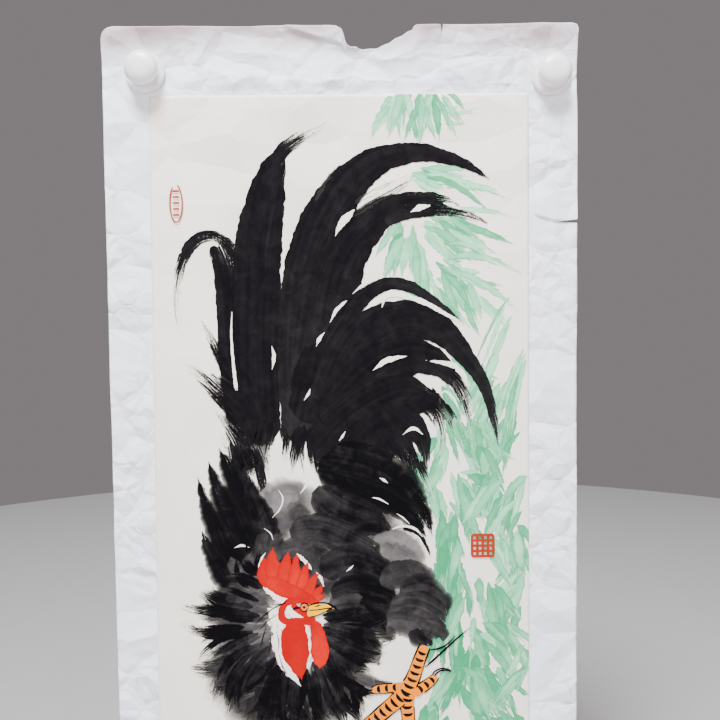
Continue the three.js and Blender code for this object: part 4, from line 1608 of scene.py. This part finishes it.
def knob_cap_profile(side):
    """The domed cap, with the spigot that plugs into the base."""
    low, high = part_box(f"{side}_knob_cap")
    radius = (high.x - low.x) / 2 / MM
    spigot_end, top = off_paper(high.y), off_paper(low.y)
    under = spigot_end + SPIGOT_LENGTH
    rim = under + RIM_HEIGHT
    seat = SPIGOT_RADIUS + 1.4
    lip = radius - 3.2
    hollow = top - 4
    profile = [
        (0, spigot_end), (SPIGOT_RADIUS, spigot_end), (SPIGOT_RADIUS, under), (seat, under), (seat, hollow),
        ((seat + radius - 2) / 2, hollow), (radius - 2, rim), (lip - 1.6, under + 2), (lip - 1.6, under),
        (lip, under),
    ]
    for t in np.linspace(0, 1, 11)[1:-1]:
        across = lip + (radius - lip) * math.sin(t * math.pi / 2) ** 0.9
        profile.append((across, under + RIM_HEIGHT * t**1.25))
    for t in np.linspace(0, math.pi / 2, DOME_STEPS + 1):
        across = radius * max(0, math.cos(t)) ** (2 / DOME_FULLNESS)
        profile.append((across, rim + (top - rim) * math.sin(t) ** (2 / DOME_FULLNESS)))
    profile[-1] = (0, top)
    return profile


def make_knobs():
    plastic = knob_material()
    for side in SIDES:
        for part, profile in (("knob_base", knob_base_profile(side)), ("knob_cap", knob_cap_profile(side))):
            piece = turned_piece(f"{side}_{part}_fine", profile, side, plastic)
            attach(piece, f"{side}_knob")
            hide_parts(f"{side}_{part}")


def finish_magnets():
    """Gives the cups, magnets and pads inside the knobs their metals and rubber."""
    steel = plated_material("cup_steel", (0.52, 0.53, 0.55), 0.32, 0.2)
    nickel = plated_material("magnet_nickel", (0.62, 0.60, 0.56), 0.2, 0.3)
    pad = pad_material()
    for side in SIDES:
        for part, material in (("steel_cup", steel), ("disc_magnet", nickel), ("grip_pad", pad)):
            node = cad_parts[f"{side}_{part}"]
            for slot in node.material_slots:
                slot.material = material
            if not node.material_slots:
                node.data.materials.append(material)


# ---------------------------------------------------------------- stage

FLOOR_DROP = 25 * MM  # below the sheet's foot
FLOOR_RADIUS = 2.0
CAMERA_PLACE = Vector((10.2, -668.8, -230.9)) * MM
CAMERA_TURN = (-2.604, 0.674, -0.395)  # pitch, roll and yaw in degrees
CAMERA_LENS = 36.1


def make_camera():
    pitch, roll, yaw = (math.radians(angle) for angle in CAMERA_TURN)
    turn = Matrix.Rotation(yaw, 4, "Z") @ Matrix.Rotation(pitch, 4, "X") @ Matrix.Rotation(roll, 4, "Y")
    level = Matrix.Rotation(math.radians(90), 4, "X")
    data = bpy.data.cameras.new("camera")
    data.lens = CAMERA_LENS
    data.sensor_width = 36
    data.clip_start = 0.01
    camera = bpy.data.objects.new("camera", data)
    camera.matrix_world = Matrix.Translation(CAMERA_PLACE) @ turn @ level
    bpy.context.scene.collection.objects.link(camera)
    bpy.context.scene.camera = camera


def make_light(name, place, aim, size, power, colour):
    """A round area light that points from its place at its aim."""
    data = bpy.data.lights.new(name, "AREA")
    data.shape = "DISK"
    data.size = size
    data.energy = power
    data.color = colour
    light = bpy.data.objects.new(name, data)
    light.location = place
    light.rotation_euler = (Vector(aim) - Vector(place)).to_track_quat("-Z", "Y").to_euler()
    bpy.context.scene.collection.objects.link(light)


def make_floor():
    stage = settings().stage
    s = Shader("floor")
    fleck = s.noise(s.place(), 30, 3.0)
    floor = Vector(stage.floor)
    material = s.finish(Base_Color=s.mix(fleck.step(0.3, 0.7), floor * 1.01, floor * 0.99), Roughness=0.9)
    bm = bmesh.new()
    bmesh.ops.create_circle(bm, cap_ends=True, segments=96, radius=FLOOR_RADIUS)
    bmesh.ops.translate(bm, vec=(0, 0, BACKING_LOW.z - FLOOR_DROP), verts=bm.verts)
    new_piece("floor", bm, material)


def make_world():
    world = bpy.data.worlds.new("studio")
    world.use_nodes = True
    sky = world.node_tree.nodes["Background"]
    sky.inputs["Color"].default_value = (*settings().stage.backdrop, 1)
    sky.inputs["Strength"].default_value = 1.0
    bpy.context.scene.world = world


def set_stage():
    make_camera()
    make_floor()
    make_world()
    power = settings().stage.light
    make_light("key", (-0.3, -1.1, 1.8), (0, 0, -0.3), 0.9, power, (0.97, 1.0, 1.0))
    make_light("fill", (-0.6, -2.1, -0.3), (0, 0, -0.4), 1.6, power * 0.22, (1.0, 0.90, 0.92))
    make_light("rim", (1.3, -1.2, 0.5), (0, 0, -0.3), 1.0, power * 0.08, (1.0, 0.95, 0.95))


# ---------------------------------------------------------------- add-on


class PAINTING_OT_stage(bpy.types.Operator):
    """Makes the camera, the floor and the lights"""

    bl_idname = "painting.stage"
    bl_label = "Set the Stage"

    def execute(self, context):
        set_stage()
        return {"FINISHED"}


class PAINTING_OT_backing(bpy.types.Operator):
    """Makes the cockled backing paper"""

    bl_idname = "painting.backing"
    bl_label = "Backing Sheet"

    def execute(self, context):
        make_backing_sheet()
        return {"FINISHED"}


class PAINTING_OT_paper(bpy.types.Operator):
    """Makes the painting's own paper"""

    bl_idname = "painting.paper"
    bl_label = "Painting Sheet"

    def execute(self, context):
        make_painting_sheet()
        return {"FINISHED"}


class PAINTING_OT_leaves(bpy.types.Operator):
    """Brushes the pale leaves"""

    bl_idname = "painting.leaves"
    bl_label = "Willow Leaves"

    def execute(self, context):
        paint_willow_leaves()
        return {"FINISHED"}


class PAINTING_OT_tail(bpy.types.Operator):
    """Brushes the tail feathers"""

    bl_idname = "painting.tail"
    bl_label = "Tail"

    def execute(self, context):
        paint_tail()
        return {"FINISHED"}


class PAINTING_OT_body(bpy.types.Operator):
    """Brushes the body and neck feathers"""

    bl_idname = "painting.body"
    bl_label = "Body"

    def execute(self, context):
        paint_body()
        return {"FINISHED"}


class PAINTING_OT_legs(bpy.types.Operator):
    """Brushes the banded legs and claws"""

    bl_idname = "painting.legs"
    bl_label = "Legs"

    def execute(self, context):
        paint_legs()
        return {"FINISHED"}


class PAINTING_OT_head(bpy.types.Operator):
    """Brushes the comb, wattles, beak and eye"""

    bl_idname = "painting.head"
    bl_label = "Head"

    def execute(self, context):
        paint_head()
        return {"FINISHED"}


class PAINTING_OT_seals(bpy.types.Operator):
    """Stamps the two plain red marks"""

    bl_idname = "painting.seals"
    bl_label = "Seals"

    def execute(self, context):
        stamp_seals()
        return {"FINISHED"}


class PAINTING_OT_knobs(bpy.types.Operator):
    """Turns the knobs' caps and bases"""

    bl_idname = "painting.knobs"
    bl_label = "Knobs"

    def execute(self, context):
        make_knobs()
        return {"FINISHED"}


class PAINTING_OT_magnets(bpy.types.Operator):
    """Finishes the magnets inside the knobs"""

    bl_idname = "painting.magnets"
    bl_label = "Magnets"

    def execute(self, context):
        finish_magnets()
        return {"FINISHED"}


class PAINTING_OT_declare(bpy.types.Operator):
    """Does nothing"""

    bl_idname = "painting.declare"
    bl_label = "Declare Sheets"

    def execute(self, context):
        return {"FINISHED"}


OPERATORS = (
    PAINTING_OT_stage,
    PAINTING_OT_backing,
    PAINTING_OT_paper,
    PAINTING_OT_leaves,
    PAINTING_OT_tail,
    PAINTING_OT_body,
    PAINTING_OT_legs,
    PAINTING_OT_head,
    PAINTING_OT_seals,
    PAINTING_OT_knobs,
    PAINTING_OT_magnets,
    PAINTING_OT_declare,
)


class PAINTING_PT_panel(bpy.types.Panel):
    """The painting's settings and steps."""

    bl_label = "Hung Painting"
    bl_space_type = "VIEW_3D"
    bl_region_type = "UI"
    bl_category = "Painting"

    def draw(self, context):
        groups = context.scene.painting_settings
        for group in (groups.sheet, groups.paint, groups.knob, groups.stage):
            box = self.layout.box()
            for name in group.bl_rna.properties.keys():
                if name not in {"rna_type", "name"}:
                    box.prop(group, name)
        for made in OPERATORS:
            self.layout.operator(made.bl_idname)


CLASSES = (
    SheetSettings, PaintSettings, KnobSettings, StageSettings, PaintingSettings, *OPERATORS,
    PAINTING_PT_panel,
)


def register():
    for made in CLASSES:
        bpy.utils.register_class(made)
    bpy.types.Scene.painting_settings = PointerProperty(type=PaintingSettings)


def unregister():
    del bpy.types.Scene.painting_settings
    for made in reversed(CLASSES):
        bpy.utils.unregister_class(made)


def main():
    register()
    bpy.ops.painting.stage()
    bpy.ops.painting.backing()
    bpy.ops.painting.paper()
    bpy.ops.painting.leaves()
    bpy.ops.painting.tail()
    bpy.ops.painting.body()
    bpy.ops.painting.legs()
    bpy.ops.painting.head()
    bpy.ops.painting.seals()
    bpy.ops.painting.knobs()
    bpy.ops.painting.magnets()
    bpy.ops.painting.declare()


if __name__ == "__main__":
    main()
